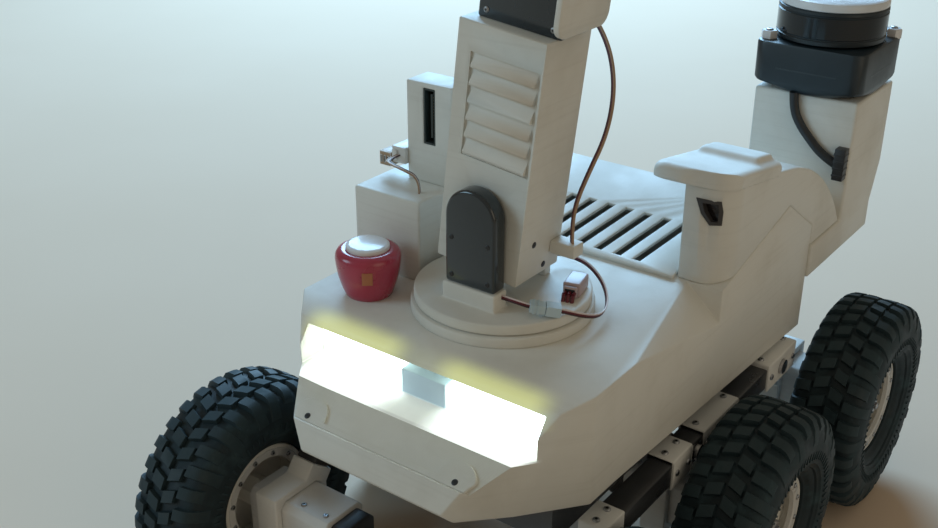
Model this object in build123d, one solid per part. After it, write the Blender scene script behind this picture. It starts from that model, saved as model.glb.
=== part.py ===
# Six-wheeled planetary rover, a hobby-size working model with a tilting mast.
# Frame: origin on the floor under the middle of the whole rover, +Z up.
# The nose points along -Y, and +X is the side with the scanner tower.
import os
from math import atan2, cos, degrees, hypot, pi, radians, sin, tan

from build123d import *

os.makedirs("parts", exist_ok=True)

# Wheels
tyre_sides = 35
rim_sides = 24
round_sides = 12
tyre_radius = 60.0
tyre_width = 42.0
lug_depth = 2.8
lug_width = 5.0
tread_half = 16.0
wall_radius = 46.0
bead_half = 12.5
rim_radius = 28.0
rim_seat_clear = 0.3
rim_wall = 3.0
flange_radius = 20.5
flange_thick = 2.5
dish_offset = 3.0
dish_thick = 3.0
hub_radius = 8.0
hub_length = 12.0
shaft_radius = 3.0
shaft_length = 18.0
shaft_clear = 0.08
nut_radius = 5.0
nut_length = 6.0
half_track = 108.0
axle_front = -140.0
axle_middle = -12.0
axle_rear = 126.0

# Motor housings, printed square sleeves
motor_size = 27.0
motor_corner = 3.0
motor_length = 50.0
motor_inset = 15.0
motor_cap_length = 9.0
motor_cap_step = 2.0

# Suspension: printed joints on square tubes, rocker outside and bogie inside
wheel_gap = 3.0
joint_width = 13.5
joint_height = 16.0
joint_gap = 1.5
plane_gap = 1.0
tube_size = 12.0
tube_clear = 0.1
clamp_wall = 4.0
clamp_clear = 0.1
arm_knee = 16.5
arm_hub = 25.0
arm_bogie = 20.0
eye_radius = 9.0
knee_front, knee_back = -117.0, -100.0
collar_front, collar_back = -56.0, -37.0
sleeve_front, sleeve_back = -25.0, 13.0
rear_joint_front, rear_joint_back = 50.0, 86.0
rocker_pivot_y = -31.0
bogie_pivot_y = 68.0
pivot_radius = 4.0
pivot_clear = 0.05
pin_head = 1.5

# Chassis tub under the hull
tub_front = -112.0
tub_back = 98.0
tub_floor = 84.0
tub_wall = 3.0
tub_bolt_x = 70.0
tub_bolt_y = 120.0
tub_bolt_radius = 1.7

# Hull, a printed shell with a slanted bow and a lip along its lower edge
hull_half = 78.7
hull_wall = 2.5
hood_height = 174.0
hood_front = -121.5
brow_front = -133.0
brow_drop = 5.5
brow_lip = 2.5
brow_edge = 0.5
recess_overcut = 3.0
recess_back = -126.0
recess_half = 64.0
shelf_front = -147.8
shelf_drop = 26.0
shelf_half = 58.4
bow_front = -169.3
bow_half = 38.0
lip_reach = 10.0
lip_height = 13.0
lip_bevel_depth = 2.5
lip_bevel_drop = 1.0
keel_bevel_depth = 4.0
keel_bevel_rise = 1.0
panel_half = 33.0
panel_height = 9.0
panel_depth = 1.2
arch_x = 40.0
arch_radius = 6.5
arch_rise = 1.0
keel_front = -101.0
belly_height = 122.0
belly_drop = 12.0
bow_low_rise = 5.5
stern = 100.0
stern_drop = 4.0
deck_start = -12.0
deck_end = 64.0
deck_slope = 14.0

# Slanted fairing along the hood's edge, up to the cheek pod
fairing_front = -90.0
fairing_inner = 61.0
fairing_drop = 16.0

# Vent lid on the slope behind the hood
lid_left = -70.0
lid_right = 54.0
lid_start = 1.0
lid_length = 74.0
lid_thick = 2.0
lid_border = 5.0
slot_count = 10
slot_pitch = 10.8
slot_width = 4.6
slot_start = 8.0
slot_length = 36.0

# Head lamps in the recess under the brow, with a plain box between them
lamp_inner = 14.0
lamp_outer = 60.0
lamp_rise = 2.0
lamp_height = 13.5
lamp_thick = 4.0
divider_half = 12.0
divider_height = 12.0
divider_depth = 6.0

# Cheek pod and visor on the +X side
pod_inner = 55.0
pod_outer = 78.7
pod_front = -9.0
pod_corner = 14.0
pod_foot_depth = 30.0
pod_rise = 49.0
pod_crest_y = 2.0
pod_crest_rise = 51.5
pod_bend_y = 56.0
pod_bend_rise = 40.7
pod_arc_y = 104.0
pod_arc_rise = 22.2
visor_inner = 38.0
visor_outer = 80.0
visor_front = -13.0
visor_length = 65.0
visor_rise = 57.6
visor_drop = 10.8
visor_thick = 8.0
visor_corner = 8.0
visor_edge = 2.5
hump_start = 36.0
hump_length = 26.0
hump_height = 5.0
hump_inset = 6.0
eye_left = 62.2
eye_right = 72.8
eye_rise = 42.0
eye_drop = 10.0
eye_foot = 5.0
eye_depth = 5.0
eye_clear = 0.3
lens_thick = 2.0

# Scanner tower behind the pod
tower_inner = 21.0
tower_outer = 80.0
tower_front = 142.0
tower_back = 199.0
tower_heel = 190.0
tower_base_drop = 35.0
tower_foot_height = 19.0
tower_heel_rise = 16.0
tower_back_rise = 39.0
tower_rise = 52.0
scanner_x = 50.5
scanner_y = 168.0
scanner_size = 62.0
scanner_base_height = 27.0
scanner_corner = 6.0
scanner_skirt_radius = 31.0
scanner_skirt_height = 8.0
scanner_head_radius = 29.5
scanner_head_height = 19.0
scanner_cap_radius = 25.0
scanner_cap_height = 4.5
scanner_gap = 0.6
scanner_spindle_radius = 6.0
scanner_spindle_length = 5.0
scanner_spindle_clear = 0.1
scanner_spindle_end = 0.5

# Scanner cable down the tower's front into a plug
cable_diameter = 5.0
cable_gap = 0.3
cable_plug_left = 73.0
cable_plug_right = 79.0
cable_plug_depth = 6.0
cable_plug_low = 183.0
cable_plug_high = 201.0

# Equipment case on the -X side, with an upright port on it
case_outer = -78.0
case_inner = -30.0
case_front = -85.0
case_back = -25.0
case_height = 40.0
case_bite_gap = 2.0
port_left = -64.0
port_width = 26.0
port_front = -62.0
port_depth = 16.0
port_height = 46.0
port_slot_width = 7.0
port_slot_height = 27.0
port_slot_depth = 9.0
case_plug_width = 8.0
case_plug_length = 12.0
case_plug_height = 8.0
case_plug_rise = 7.0
case_plug_lead = 2.0
lead_diameter = 2.4
lead_sides = 6

# Stop button
button_x = -52.0
button_y = -106.0
button_foot_radius = 10.5
button_waist_radius = 13.5
button_waist_share = 0.55
button_cap_radius = 10.0
button_rim = 2.5
button_height = 22.0
button_cap_thick = 2.0
button_sides = 32

# Mast: turntable, foot servo with its tilt pivot, column, head servo, head
mast_x = 4.0
mast_y = -79.0
ring_radius = 41.5
ring_height = 5.0
disc_radius = 40.0
disc_height = 5.0
turn_gap = 0.5
spigot_radius = 8.0
spigot_clear = 0.1
spigot_end = 0.5
plinth_height = 8.0
plinth_reach = 1.0
pivot_rise = 39.5
mast_lean = 6.5
column_width = 42.0
column_depth = 33.0
column_foot = 28.0
column_rise = 80.5
foot_servo_width = 26.0
foot_servo_depth = 8.5
rear_ear_width = 22.0
rear_ear_depth = 5.0
ear_gap = 0.6
pin_radius = 3.0
pin_reach = 7.0
pin_clear = 0.06
vent_offset = 3.0
vent_width = 34.0
vent_low = 23.0
vent_high = 68.0
vent_depth = 1.0
louvre_count = 6
louvre_width = 31.0
louvre_reach = 2.4
louvre_lip = 1.4
louvre_rise = 5.0
head_offset = 3.0
head_servo_x = 40.0
head_servo_y = 20.0
head_servo_z = 38.0
head_pivot_rise = 27.0
yoke_thick = 3.0
yoke_width = 16.0
yoke_web_rise = 18.0
cheek_width = 37.0
cheek_drop = 36.0
cheek_corner = 6.0
head_width = 66.0
head_depth = 34.0
head_height = 34.0
head_corner = 6.0
lens_radius = 8.0
lens_spread = 18.0
lens_depth = 3.0
mast_lead_diameter = 3.0
clip_width = 8.0
clip_height = 6.0
clip_root = 6.0
clip_reach = 10.5
clip_inset = 1.0
clip_drop = 16.0

# Routes of the leads, point by point
scanner_cable_route = [
    (45.0, 139.2, 226.0), (45.0, 139.2, 217.0), (49.5, 139.2, 208.5), (57.0, 139.2, 201.0),
    (65.0, 139.2, 195.5), (73.0, 139.2, 195.5),
]
case_lead_route = [
    (-68.0, -64.0, 225.0), (-68.0, -72.0, 225.0), (-62.0, -78.0, 226.5), (-53.5, -78.5, 225.5),
    (-47.0, -74.5, 221.5), (-47.0, -74.5, 214.0),
]
mast_lead_route = [
    (22.0, -69.0, 311.0), (22.0, -60.5, 311.0), (24.0, -53.0, 304.0), (28.0, -49.0, 293.0),
    (32.5, -49.5, 279.5), (40.0, -54.0, 266.0), (42.5, -59.0, 250.0), (38.8, -64.0, 235.5),
    (34.0, -67.0, 223.5), (32.4, -67.8, 216.0), (32.4, -67.8, 208.0),
]
foot_lead_route = [
    (18.0, -100.0, 190.5), (25.0, -100.0, 190.5), (32.5, -97.5, 189.0), (41.0, -91.0, 187.8),
    (48.5, -81.5, 183.0), (50.0, -70.0, 178.8), (46.5, -58.5, 178.8), (39.0, -49.5, 183.0),
    (29.0, -45.5, 187.8), (19.5, -44.0, 188.8), (10.5, -47.0, 190.0), (10.5, -56.9, 190.0),
]


def block(x0, x1, y0, y1, z0, z1):
    """A box between two corners."""
    return Pos((x0 + x1) / 2, (y0 + y1) / 2, (z0 + z1) / 2) * Box(abs(x1 - x0), y1 - y0, z1 - z0)


def side_face(points, x=0.0):
    """A (y, z) outline as a face in the plane at x."""
    return make_face(Polyline(*[(x, y, z) for y, z in points], close=True))


def side_prism(points, x0, x1):
    """A (y, z) outline carried along X from x0 to x1."""
    return extrude(side_face(points, x0), amount=x1 - x0, dir=(1, 0, 0))


def plan_prism(points, z0, z1):
    """An (x, y) outline carried up from z0 to z1."""
    face = make_face(Polyline(*[(x, y, z0) for x, y in points], close=True))
    return extrude(face, amount=z1 - z0, dir=(0, 0, 1))


def rod_x(x0, x1, y, z, radius):
    """A round bar along X between x0 and x1."""
    return Pos((x0 + x1) / 2, y, z) * Rot(0, 90, 0) * Cylinder(radius, abs(x1 - x0))


def rod_y(x, y0, y1, z, radius):
    """A round bar along Y between y0 and y1."""
    return Pos(x, (y0 + y1) / 2, z) * Rot(90, 0, 0) * Cylinder(radius, abs(y1 - y0))


def rod_z(x, y, z0, z1, radius):
    """A round bar along Z between z0 and z1."""
    return Pos(x, y, (z0 + z1) / 2) * Cylinder(radius, abs(z1 - z0))


def turned(profile, count):
    """A ring about the X axis with flat sides, from its (x, radius) section."""
    rings = []
    for x, radius in profile:
        corners = [2 * pi * (index + 0.5) / count for index in range(count)]
        rings.append([(x, radius * sin(angle), radius * cos(angle)) for angle in corners])
    panels = []
    for ring, following in zip(rings, rings[1:] + rings[:1]):
        for index in range(count):
            after = (index + 1) % count
            corners = (ring[index], ring[after], following[after], following[index])
            panels.append(Face(Wire.make_polygon(corners, close=True)))
    return Solid(Shell(panels))


def disc_x(x0, x1, radius, count):
    """A many-sided disc along X between x0 and x1."""
    corners = [2 * pi * (index + 0.5) / count for index in range(count)]
    points = [(x0, radius * sin(angle), radius * cos(angle)) for angle in corners]
    return extrude(make_face(Polyline(*points, close=True)), amount=x1 - x0, dir=(1, 0, 0))


def bar(start, end, first, last, height, x0, x1):
    """A straight bar on the line between two (y, z) points, between two distances from the start."""
    run_y, run_z = end[0] - start[0], end[1] - start[1]
    length = hypot(run_y, run_z)
    share = (first + last) / 2 / length
    middle_y, middle_z = start[0] + run_y * share, start[1] + run_z * share
    return Pos((x0 + x1) / 2, middle_y, middle_z) * Rot(degrees(atan2(run_z, run_y)), 0, 0) * Box(
        abs(x1 - x0), last - first, height)


def save(name, shape):
    """Writes one sub-part."""
    shape.label = name
    export_step(shape, f"parts/{name}.step")


def lead(name, route, diameter):
    """A lead along straight runs joined by the largest tangent arcs."""
    spots = [Vector(*spot) for spot in route]
    radii = []
    for before, here, after in zip(spots, spots[1:], spots[2:]):
        turn = radians((here - before).get_angle(after - here))
        radii.append(0.45 * min((here - before).length, (after - here).length) / tan(turn / 2))
    path = FilletPolyline(*route, radius=radii)
    section = Plane(origin=spots[0], z_dir=spots[1] - spots[0]) * RegularPolygon(diameter / 2, lead_sides)
    tube = sweep(section, path)
    print(name, "length", round(path.length, 1), "radii", [round(radius, 1) for radius in radii])
    save(name, tube)


sides = (("left", -1), ("right", 1))
axles = (("front", axle_front), ("middle", axle_middle), ("rear", axle_rear))

# Tyre: bulging side walls between the bead and a flat tread, with a lug on each of its sides
half = tyre_width / 2
tread_radius = tyre_radius - lug_depth
tyre = turned([
    (-bead_half, rim_radius), (-half, wall_radius), (-tread_half, tread_radius),
    (tread_half, tread_radius), (half, wall_radius), (bead_half, rim_radius)], tyre_sides)
lugs = []
for index in range(tyre_sides):
    lug_base = tread_radius - lug_depth / 2
    lug = Pos(0, 0, (lug_base + tyre_radius) / 2) * Box(2 * tread_half, lug_width, tyre_radius - lug_base)
    lugs.append(Rot(360 * index / tyre_sides, 0, 0) * lug)
tyre += lugs

# Rim: barrel with a flange at each end, dish, hub, drive shaft inwards and nut outwards
seat = rim_radius - rim_seat_clear
barrel = seat - rim_wall
flange_in = bead_half - flange_thick
dish_end = dish_offset + dish_thick
hub_end = dish_offset - hub_length
rim = turned([
    (-bead_half, seat), (bead_half, seat), (bead_half, flange_radius), (flange_in, flange_radius),
    (flange_in, barrel), (-flange_in, barrel), (-flange_in, flange_radius),
    (-bead_half, flange_radius)], rim_sides)
rim += disc_x(dish_offset, dish_end, seat - rim_wall / 2, rim_sides)
rim += disc_x(hub_end, dish_offset, hub_radius, 6)
rim += disc_x(hub_end - shaft_length, hub_end, shaft_radius, round_sides)
rim += disc_x(dish_end, dish_end + nut_length, nut_radius, 6)

for side_name, side in sides:
    turn = Rot(0, 0, 0 if side > 0 else 180)
    for axle_name, axle_y in axles:
        place = Pos(side * half_track, axle_y, tyre_radius) * turn
        save(f"tyre_{axle_name}_{side_name}", place * tyre)
        save(f"rim_{axle_name}_{side_name}", place * rim)

# Motor housings with a bore for each wheel's shaft, and their caps
motor_face = half_track - motor_inset
motor_back = motor_face - motor_length
motors = []
caps = []
for _, side in sides:
    for _, axle_y in axles:
        housing = Pos(side * (motor_face + motor_back) / 2, axle_y, tyre_radius) * Box(
            motor_length, motor_size, motor_size)
        housing = chamfer(housing.edges().filter_by(Axis.X), motor_corner)
        housing -= rod_x(side * (motor_face - shaft_length), side * (motor_face + 1), axle_y,
                         tyre_radius, shaft_radius + shaft_clear)
        motors.append(housing)
        cap_size = motor_size - 2 * motor_cap_step
        cap = Pos(side * (motor_back - motor_cap_length / 2), axle_y, tyre_radius) * Box(
            motor_cap_length, cap_size, cap_size)
        caps.append(chamfer(cap.edges().filter_by(Axis.X), motor_corner))
save("drive_motors", Compound(children=motors))
save("motor_caps", Compound(children=caps))

# Suspension planes, worked inwards from the wheels
belly_back = belly_height - belly_drop
rocker_outer = half_track - half - wheel_gap
rocker_inner = rocker_outer - joint_width
bogie_outer = rocker_inner - plane_gap
bogie_inner = bogie_outer - joint_width
tub_half = bogie_inner - plane_gap
joint_top = belly_back - joint_gap
tube_z = joint_top - joint_height / 2
tube_inset = (joint_width - tube_size) / 2
front_hub = (axle_front, tyre_radius)
middle_hub = (axle_middle, tyre_radius)
rear_hub = (axle_rear, tyre_radius)
knee = ((knee_front + knee_back) / 2, tube_z)
rocker_pivot = (rocker_pivot_y, tube_z)
bogie_pivot = (bogie_pivot_y, tube_z)
clamp_half = motor_size / 2 + clamp_clear + clamp_wall
clamp_hole = motor_size / 2 + clamp_clear


def hub_clamp(hub, towards, x0, x1):
    """A printed clamp round a motor housing, with an arm towards the next joint."""
    body = block(x0, x1, hub[0] - clamp_half, hub[0] + clamp_half, hub[1] - clamp_half, hub[1] + clamp_half)
    body += bar(hub, towards, clamp_half / 2, arm_hub, joint_height, x0, x1)
    hole = block(x0 - 1, x1 + 1, hub[0] - clamp_hole, hub[0] + clamp_hole, hub[1] - clamp_hole,
                 hub[1] + clamp_hole)
    return body - chamfer(hole.edges().filter_by(Axis.X), motor_corner)


def leg_tube(start, end, first, last, x0, x1):
    """A square tube between the arms of two joints."""
    length = hypot(end[0] - start[0], end[1] - start[1])
    return bar(start, end, first, length - last, tube_size, x0 + tube_inset, x1 - tube_inset)


# Rockers: knee, collar, sleeve, rear joint and front clamp. Bogies: middle joint and two clamps
tubes = []
pins = []
for side_name, side in sides:
    x0, x1 = sorted((side * rocker_inner, side * rocker_outer))
    low, high = joint_top - joint_height, joint_top
    tube_x0, tube_x1 = x0 + tube_inset, x1 - tube_inset
    tube_low, tube_high = tube_z - tube_size / 2, tube_z + tube_size / 2
    bore = block(tube_x0 - tube_clear, tube_x1 + tube_clear, collar_front - 1, sleeve_back + 1,
                 tube_low - tube_clear, tube_high + tube_clear)
    knee_joint = block(x0, x1, knee_front, knee_back, low, high) + bar(
        knee, front_hub, 0, arm_knee, joint_height, x0, x1)
    collar = block(x0, x1, collar_front, collar_back, low, high) - bore
    sleeve = block(x0, x1, sleeve_front, sleeve_back, low, high) - bore
    rear_joint = block(x0, x1, rear_joint_front, rear_joint_back, low, high)
    rear_joint -= rod_x(x0 - 1, x1 + 1, *bogie_pivot, pivot_radius + pivot_clear)
    rocker = [knee_joint, collar, sleeve, rear_joint, hub_clamp(front_hub, knee, x0, x1)]
    save(f"rocker_{side_name}", Compound(children=rocker))

    top_tube = block(tube_x0, tube_x1, knee_back, rear_joint_front, tube_low, tube_high)
    top_tube -= rod_x(x0 - 1, x1 + 1, *rocker_pivot, pivot_radius + pivot_clear)
    tubes.append(top_tube)
    tubes.append(leg_tube(knee, front_hub, arm_knee, arm_hub, x0, x1))

    x0, x1 = sorted((side * bogie_inner, side * bogie_outer))
    centre = rod_x(x0, x1, *bogie_pivot, eye_radius)
    bogie = []
    for hub in (middle_hub, rear_hub):
        centre += bar(bogie_pivot, hub, 0, arm_bogie, joint_height, x0, x1)
        bogie.append(hub_clamp(hub, bogie_pivot, x0, x1))
        tubes.append(leg_tube(bogie_pivot, hub, arm_bogie, arm_hub, x0, x1))
    centre -= rod_x(x0 - 1, x1 + 1, *bogie_pivot, pivot_radius + pivot_clear)
    save(f"bogie_{side_name}", Compound(children=[centre] + bogie))

    pins.append(rod_x(side * tub_half, side * (rocker_outer + pin_head), *rocker_pivot, pivot_radius))
    pins.append(rod_x(side * bogie_inner, side * (rocker_outer + pin_head), *bogie_pivot, pivot_radius))
save("suspension_tubes", Compound(children=tubes))
save("pivot_pins", Compound(children=pins))

# Hull: its side outline carried across and cut to its plan, hollow inside
brow_height = hood_height - brow_drop
shelf_height = hood_height - shelf_drop
stern_height = hood_height - stern_drop
deck_end_height = hood_height + (deck_end - deck_start) * tan(radians(deck_slope))
lip_low = belly_height + bow_low_rise
hull_bow = [
    (shelf_front, shelf_height),
    (bow_front + lip_reach, lip_low + lip_height - lip_bevel_drop),
    (bow_front + lip_reach - lip_bevel_depth, lip_low + lip_height),
    (bow_front, lip_low),
    (bow_front + keel_bevel_depth, belly_height + keel_bevel_rise),
    (keel_front, belly_height),
]
hull_top = [
    (stern, belly_back),
    (stern, stern_height),
    (deck_end, deck_end_height),
    (deck_start, hood_height),
    (hood_front, hood_height),
    (brow_front, brow_height),
]
recess = [
    (brow_front + brow_edge, brow_height - brow_lip),
    (recess_back, brow_height - brow_lip),
    (recess_back, shelf_height),
]
plan = [
    (-hull_half, stern), (-hull_half, hood_front), (-shelf_half, shelf_front), (-bow_half, bow_front),
    (bow_half, bow_front), (shelf_half, shelf_front), (hull_half, hood_front), (hull_half, stern),
]
fairing_plane = Plane(
    origin=(hull_half, fairing_front, hood_height),
    x_dir=(fairing_inner - hull_half, deck_start - fairing_front, 0),
    z_dir=Vector(fairing_inner - hull_half, deck_start - fairing_front, 0).cross(
        Vector(0, deck_start - fairing_front, -fairing_drop)) * -1)


def fairing(inset, back):
    """What the slanted fairing takes off the hood's edge, moved inwards by the inset."""
    cutter = fairing_plane.offset(-inset) * Pos(0, 0, hull_half / 2) * Box(
        4 * hull_half, 4 * hull_half, hull_half)
    return cutter & block(0, hull_half + 1, fairing_front - 20, back, belly_height, hood_height + 10)


hull_solid = side_prism(hull_bow + hull_top, -hull_half, hull_half) & plan_prism(
    plan, belly_back - 5, deck_end_height + 5)
hull_solid -= fairing(0, pod_front)
pocket_outline = [
    (brow_front - recess_overcut, brow_height - brow_lip),
    (recess_back, brow_height - brow_lip),
    (recess_back, shelf_height),
    (shelf_front - recess_overcut, shelf_height),
]
pocket = side_prism(pocket_outline, -recess_half, recess_half)
inner_face = offset(side_face(hull_bow + hull_top + recess, -hull_half), amount=-hull_wall)
inner_plan_face = offset(make_face(Polyline(*[(x, y, belly_back) for x, y in plan], close=True)),
                         amount=-hull_wall)
inner = extrude(inner_face, amount=2 * hull_half, dir=(1, 0, 0)) & extrude(
    inner_plan_face, amount=deck_end_height - belly_back, dir=(0, 0, 1))
inner -= fairing(hull_wall, pod_front + hull_wall)
hull = hull_solid - pocket - inner

# Shallow panel across the bow with an arch at each end for its screws
bow_foot_y = bow_front + lip_reach
bow_foot_z = lip_low + lip_height - lip_bevel_drop
slant = degrees(atan2(bow_foot_z - shelf_height, bow_foot_y - shelf_front))
panel_y = (shelf_front + bow_foot_y) / 2
panel_z = (shelf_height + bow_foot_z) / 2
panel_place = Pos(0, panel_y, panel_z) * Rot(slant - 180, 0, 0)
hull -= panel_place * block(-panel_half, panel_half, -panel_height / 2, panel_height / 2,
                            -panel_depth, panel_depth + 2)
for side in (-1, 1):
    arch = Pos(side * arch_x, 0, arch_rise) * Cylinder(arch_radius, 2 * (panel_depth + arch_rise))
    hull -= panel_place * arch
hull += block(-divider_half, divider_half, recess_back - divider_depth, recess_back,
              shelf_height, shelf_height + divider_height)

# The lid's frame on the slope: origin at its front edge, X across, Y up the slope
slope_place = Pos(0, deck_start, hood_height) * Rot(deck_slope, 0, 0)
hull -= slope_place * block(
    lid_left + lid_border, lid_right - lid_border, lid_start + lid_border,
    lid_start + lid_length - lid_border, -2 * hull_wall, 2.0)
save("hull", hull)

lid = block(lid_left, lid_right, lid_start, lid_start + lid_length, 0.0, lid_thick)
slot_middle = (lid_left + lid_right) / 2
for index in range(slot_count):
    x = slot_middle + (index - (slot_count - 1) / 2) * slot_pitch
    lid -= block(x - slot_width / 2, x + slot_width / 2, slot_start, slot_start + slot_length,
                 -1.0, lid_thick + 1.0)
save("vent_lid", slope_place * lid)

# Chassis tub: an open tray under the hull
tub = block(-tub_half, tub_half, tub_front, tub_back, tub_floor, belly_height + 1)
tub -= block(-tub_half + tub_wall, tub_half - tub_wall, tub_front + tub_wall, tub_back - tub_wall,
             tub_floor + tub_wall, belly_height + 2)
tub -= side_prism([
    (bow_front, belly_height), (keel_front, belly_height), (stern, belly_back),
    (stern, belly_height + 20), (bow_front, belly_height + 20)], -hull_half, hull_half)
for x in (-tub_bolt_x / 2, tub_bolt_x / 2):
    for y in (-tub_bolt_y / 2, tub_bolt_y / 2):
        tub -= rod_z(x, y, tub_floor - 1, tub_floor + tub_wall + 1, tub_bolt_radius)
save("chassis_tub", tub)

# Head lamps
lamp_base = shelf_height + lamp_rise
lamps = [
    block(*sorted((side * lamp_inner, side * lamp_outer)), recess_back - lamp_thick, recess_back,
          lamp_base, lamp_base + lamp_height)
    for _, side in sides
]
save("head_lamps", Compound(children=lamps))

# Scanner tower: a column whose back draws in at the heel, and a foot that reaches to the stern
tower_base = hood_height - tower_base_drop
tower_top = hood_height + tower_rise
tower_outline = [
    (tower_front, tower_top), (tower_back, tower_top), (tower_back, tower_base + tower_back_rise),
    (tower_heel, tower_base + tower_heel_rise), (tower_heel, tower_base), (stern, tower_base),
    (stern, tower_base + tower_foot_height), (tower_front, tower_base + tower_foot_height),
]
tower = side_prism(tower_outline, tower_inner, tower_outer)
save("tower", tower)

# Cheek pod: from the hull's side up to the visor, its back sweeping down to the tower
pod_top = Polyline(
    (pod_inner, pod_front, hood_height - pod_foot_depth),
    (pod_inner, pod_front, hood_height + pod_rise),
    (pod_inner, pod_crest_y, hood_height + pod_crest_rise),
    (pod_inner, pod_bend_y, hood_height + pod_bend_rise))
pod_back = ThreePointArc(
    (pod_inner, pod_bend_y, hood_height + pod_bend_rise),
    (pod_inner, pod_arc_y, hood_height + pod_arc_rise),
    (pod_inner, tower_front, tower_base + tower_foot_height))
pod_foot = Polyline(
    (pod_inner, tower_front, tower_base + tower_foot_height),
    (pod_inner, tower_front, tower_base),
    (pod_inner, stern, tower_base),
    (pod_inner, pod_front, hood_height - pod_foot_depth))
pod = extrude(make_face(pod_top + pod_back + pod_foot), amount=pod_outer - pod_inner, dir=(1, 0, 0))
front_edge = pod.edges().filter_by(Axis.Z).group_by(Axis.X)[-1].sort_by(Axis.Y)[0]
pod = fillet(front_edge, pod_corner)
pod += block(pod_outer - pod_corner, pod_outer, pod_front, pod_front + pod_corner,
             hood_height - pod_foot_depth, hood_height - fairing_drop)
pod -= hull_solid
pod -= tower
pod -= slope_place * block(lid_left, lid_right, lid_start, lid_start + lid_length, -1.0, lid_thick)


def eye_outline(inset):
    """The eye's opening: a level top, an upright side and a slant between them."""
    top = hood_height + eye_rise - inset
    low = hood_height + eye_rise - eye_drop + inset
    right = eye_right - inset
    points = [(eye_left + 2 * inset, top), (right, top), (right, low), (right - eye_foot + inset, low)]
    return make_face(Polyline(*[(x, 0, z) for x, z in points], close=True))


pod -= Pos(0, pod_front + eye_depth, 0) * extrude(eye_outline(0), amount=eye_depth + 1, dir=(0, -1, 0))
save("cheek_pod", pod)
save("cheek_lens", Pos(0, pod_front + eye_depth, 0) * extrude(
    eye_outline(eye_clear), amount=lens_thick, dir=(0, -1, 0)))

# Visor: a slab with rounded edges and a hump over its back
visor_tilt = degrees(atan2(-visor_drop, visor_length))
visor_place = Pos(0, visor_front, hood_height + visor_rise) * Rot(visor_tilt, 0, 0)
slab = block(visor_inner, visor_outer, 0, visor_length, -visor_thick, 0)
slab = fillet(slab.edges().filter_by(Axis.Z), visor_corner)
slab = chamfer(slab.faces().sort_by(Axis.Z)[-1].edges(), visor_edge)
hump = side_prism([
    (hump_start, -visor_edge), (hump_start + hump_height, hump_height),
    (hump_start + hump_length - hump_height, hump_height), (hump_start + hump_length, -visor_edge)],
    visor_inner + hump_inset, visor_outer - hump_inset)
visor = visor_place * (slab + hump)
visor -= pod
save("visor", visor)

# Scanner: a square base with a round skirt under it, and the turning head
scanner_half = scanner_size / 2
scanner_top = tower_top + scanner_base_height
skirt_top = tower_top + scanner_skirt_height
scanner_base = block(scanner_x - scanner_half, scanner_x + scanner_half, scanner_y - scanner_half,
                     scanner_y + scanner_half, skirt_top, scanner_top)
scanner_base = chamfer(scanner_base.edges().filter_by(Axis.Z), scanner_corner)
scanner_base += rod_z(scanner_x, scanner_y, tower_top, skirt_top, scanner_skirt_radius)
scanner_base -= rod_z(scanner_x, scanner_y, scanner_top - scanner_spindle_length - scanner_spindle_end,
                      scanner_top + 1, scanner_spindle_radius + scanner_spindle_clear)
save("scanner_base", scanner_base)
head_start = scanner_top + scanner_gap
head_end = head_start + scanner_head_height
scanner_head = rod_z(scanner_x, scanner_y, head_start, head_end, scanner_head_radius)
scanner_head += rod_z(scanner_x, scanner_y, scanner_top - scanner_spindle_length, head_start,
                      scanner_spindle_radius)
save("scanner_head", scanner_head)
save("scanner_cap", rod_z(scanner_x, scanner_y, head_end, head_end + scanner_cap_height,
                          scanner_cap_radius))

# Scanner cable and its plug on the tower's front
lead("scanner_cable", scanner_cable_route, cable_diameter)
save("cable_plug", block(cable_plug_left, cable_plug_right, tower_front - cable_plug_depth, tower_front,
                         cable_plug_low, cable_plug_high))

# Equipment case, bitten round the turntable, with its port
case_top = hood_height + case_height
side_case = block(case_outer, case_inner, case_front, case_back, hood_height, case_top)
side_case -= rod_z(mast_x, mast_y, hood_height - 1, case_top + 1, ring_radius + case_bite_gap)
save("side_case", side_case)
port = block(port_left, port_left + port_width, port_front, port_front + port_depth, case_top,
             case_top + port_height)
slot_x = port_left + port_width / 2
slot_z = case_top + port_height / 2
port -= block(slot_x - port_slot_width / 2, slot_x + port_slot_width / 2, port_front - 1,
              port_front + port_slot_depth, slot_z - port_slot_height / 2, slot_z + port_slot_height / 2)
save("side_port", port)
case_plug_low = case_top + case_plug_rise
case_plug_front = port_front - case_plug_lead
save("case_plug", block(port_left - case_plug_width, port_left, case_plug_front,
                        case_plug_front + case_plug_length, case_plug_low,
                        case_plug_low + case_plug_height))
lead("case_lead", case_lead_route, lead_diameter)


def tapered(low_radius, high_radius, low, high, count):
    """A many-sided frustum between two heights, about the Z axis."""
    widening = degrees(atan2((high_radius - low_radius) * cos(pi / count), high - low))
    return extrude(Pos(0, 0, low) * RegularPolygon(low_radius, count), amount=high - low, taper=-widening)


# Stop button: widest at its waist
cap_bottom = hood_height + button_height
waist = button_height * button_waist_share
button = tapered(button_foot_radius, button_waist_radius, 0, waist, button_sides)
button += tapered(button_waist_radius, button_cap_radius + button_rim, waist, button_height, button_sides)
save("stop_button", Pos(button_x, button_y, hood_height) * button)
save("button_cap", rod_z(button_x, button_y, cap_bottom, cap_bottom + button_cap_thick,
                         button_cap_radius))

# Turntable: fixed ring on the hood, disc with a spigot under it and a plinth for the foot servo
ring_top = hood_height + ring_height
ring = rod_z(mast_x, mast_y, hood_height, ring_top, ring_radius)
ring -= rod_z(mast_x, mast_y, hood_height - 1, ring_top + 1, spigot_radius + spigot_clear)
save("turntable_ring", ring)
disc_base = ring_top + turn_gap
disc_top = disc_base + disc_height
disc = rod_z(mast_x, mast_y, disc_base, disc_top, disc_radius)
disc += rod_z(mast_x, mast_y, hood_height + spigot_end, disc_base, spigot_radius)

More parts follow.
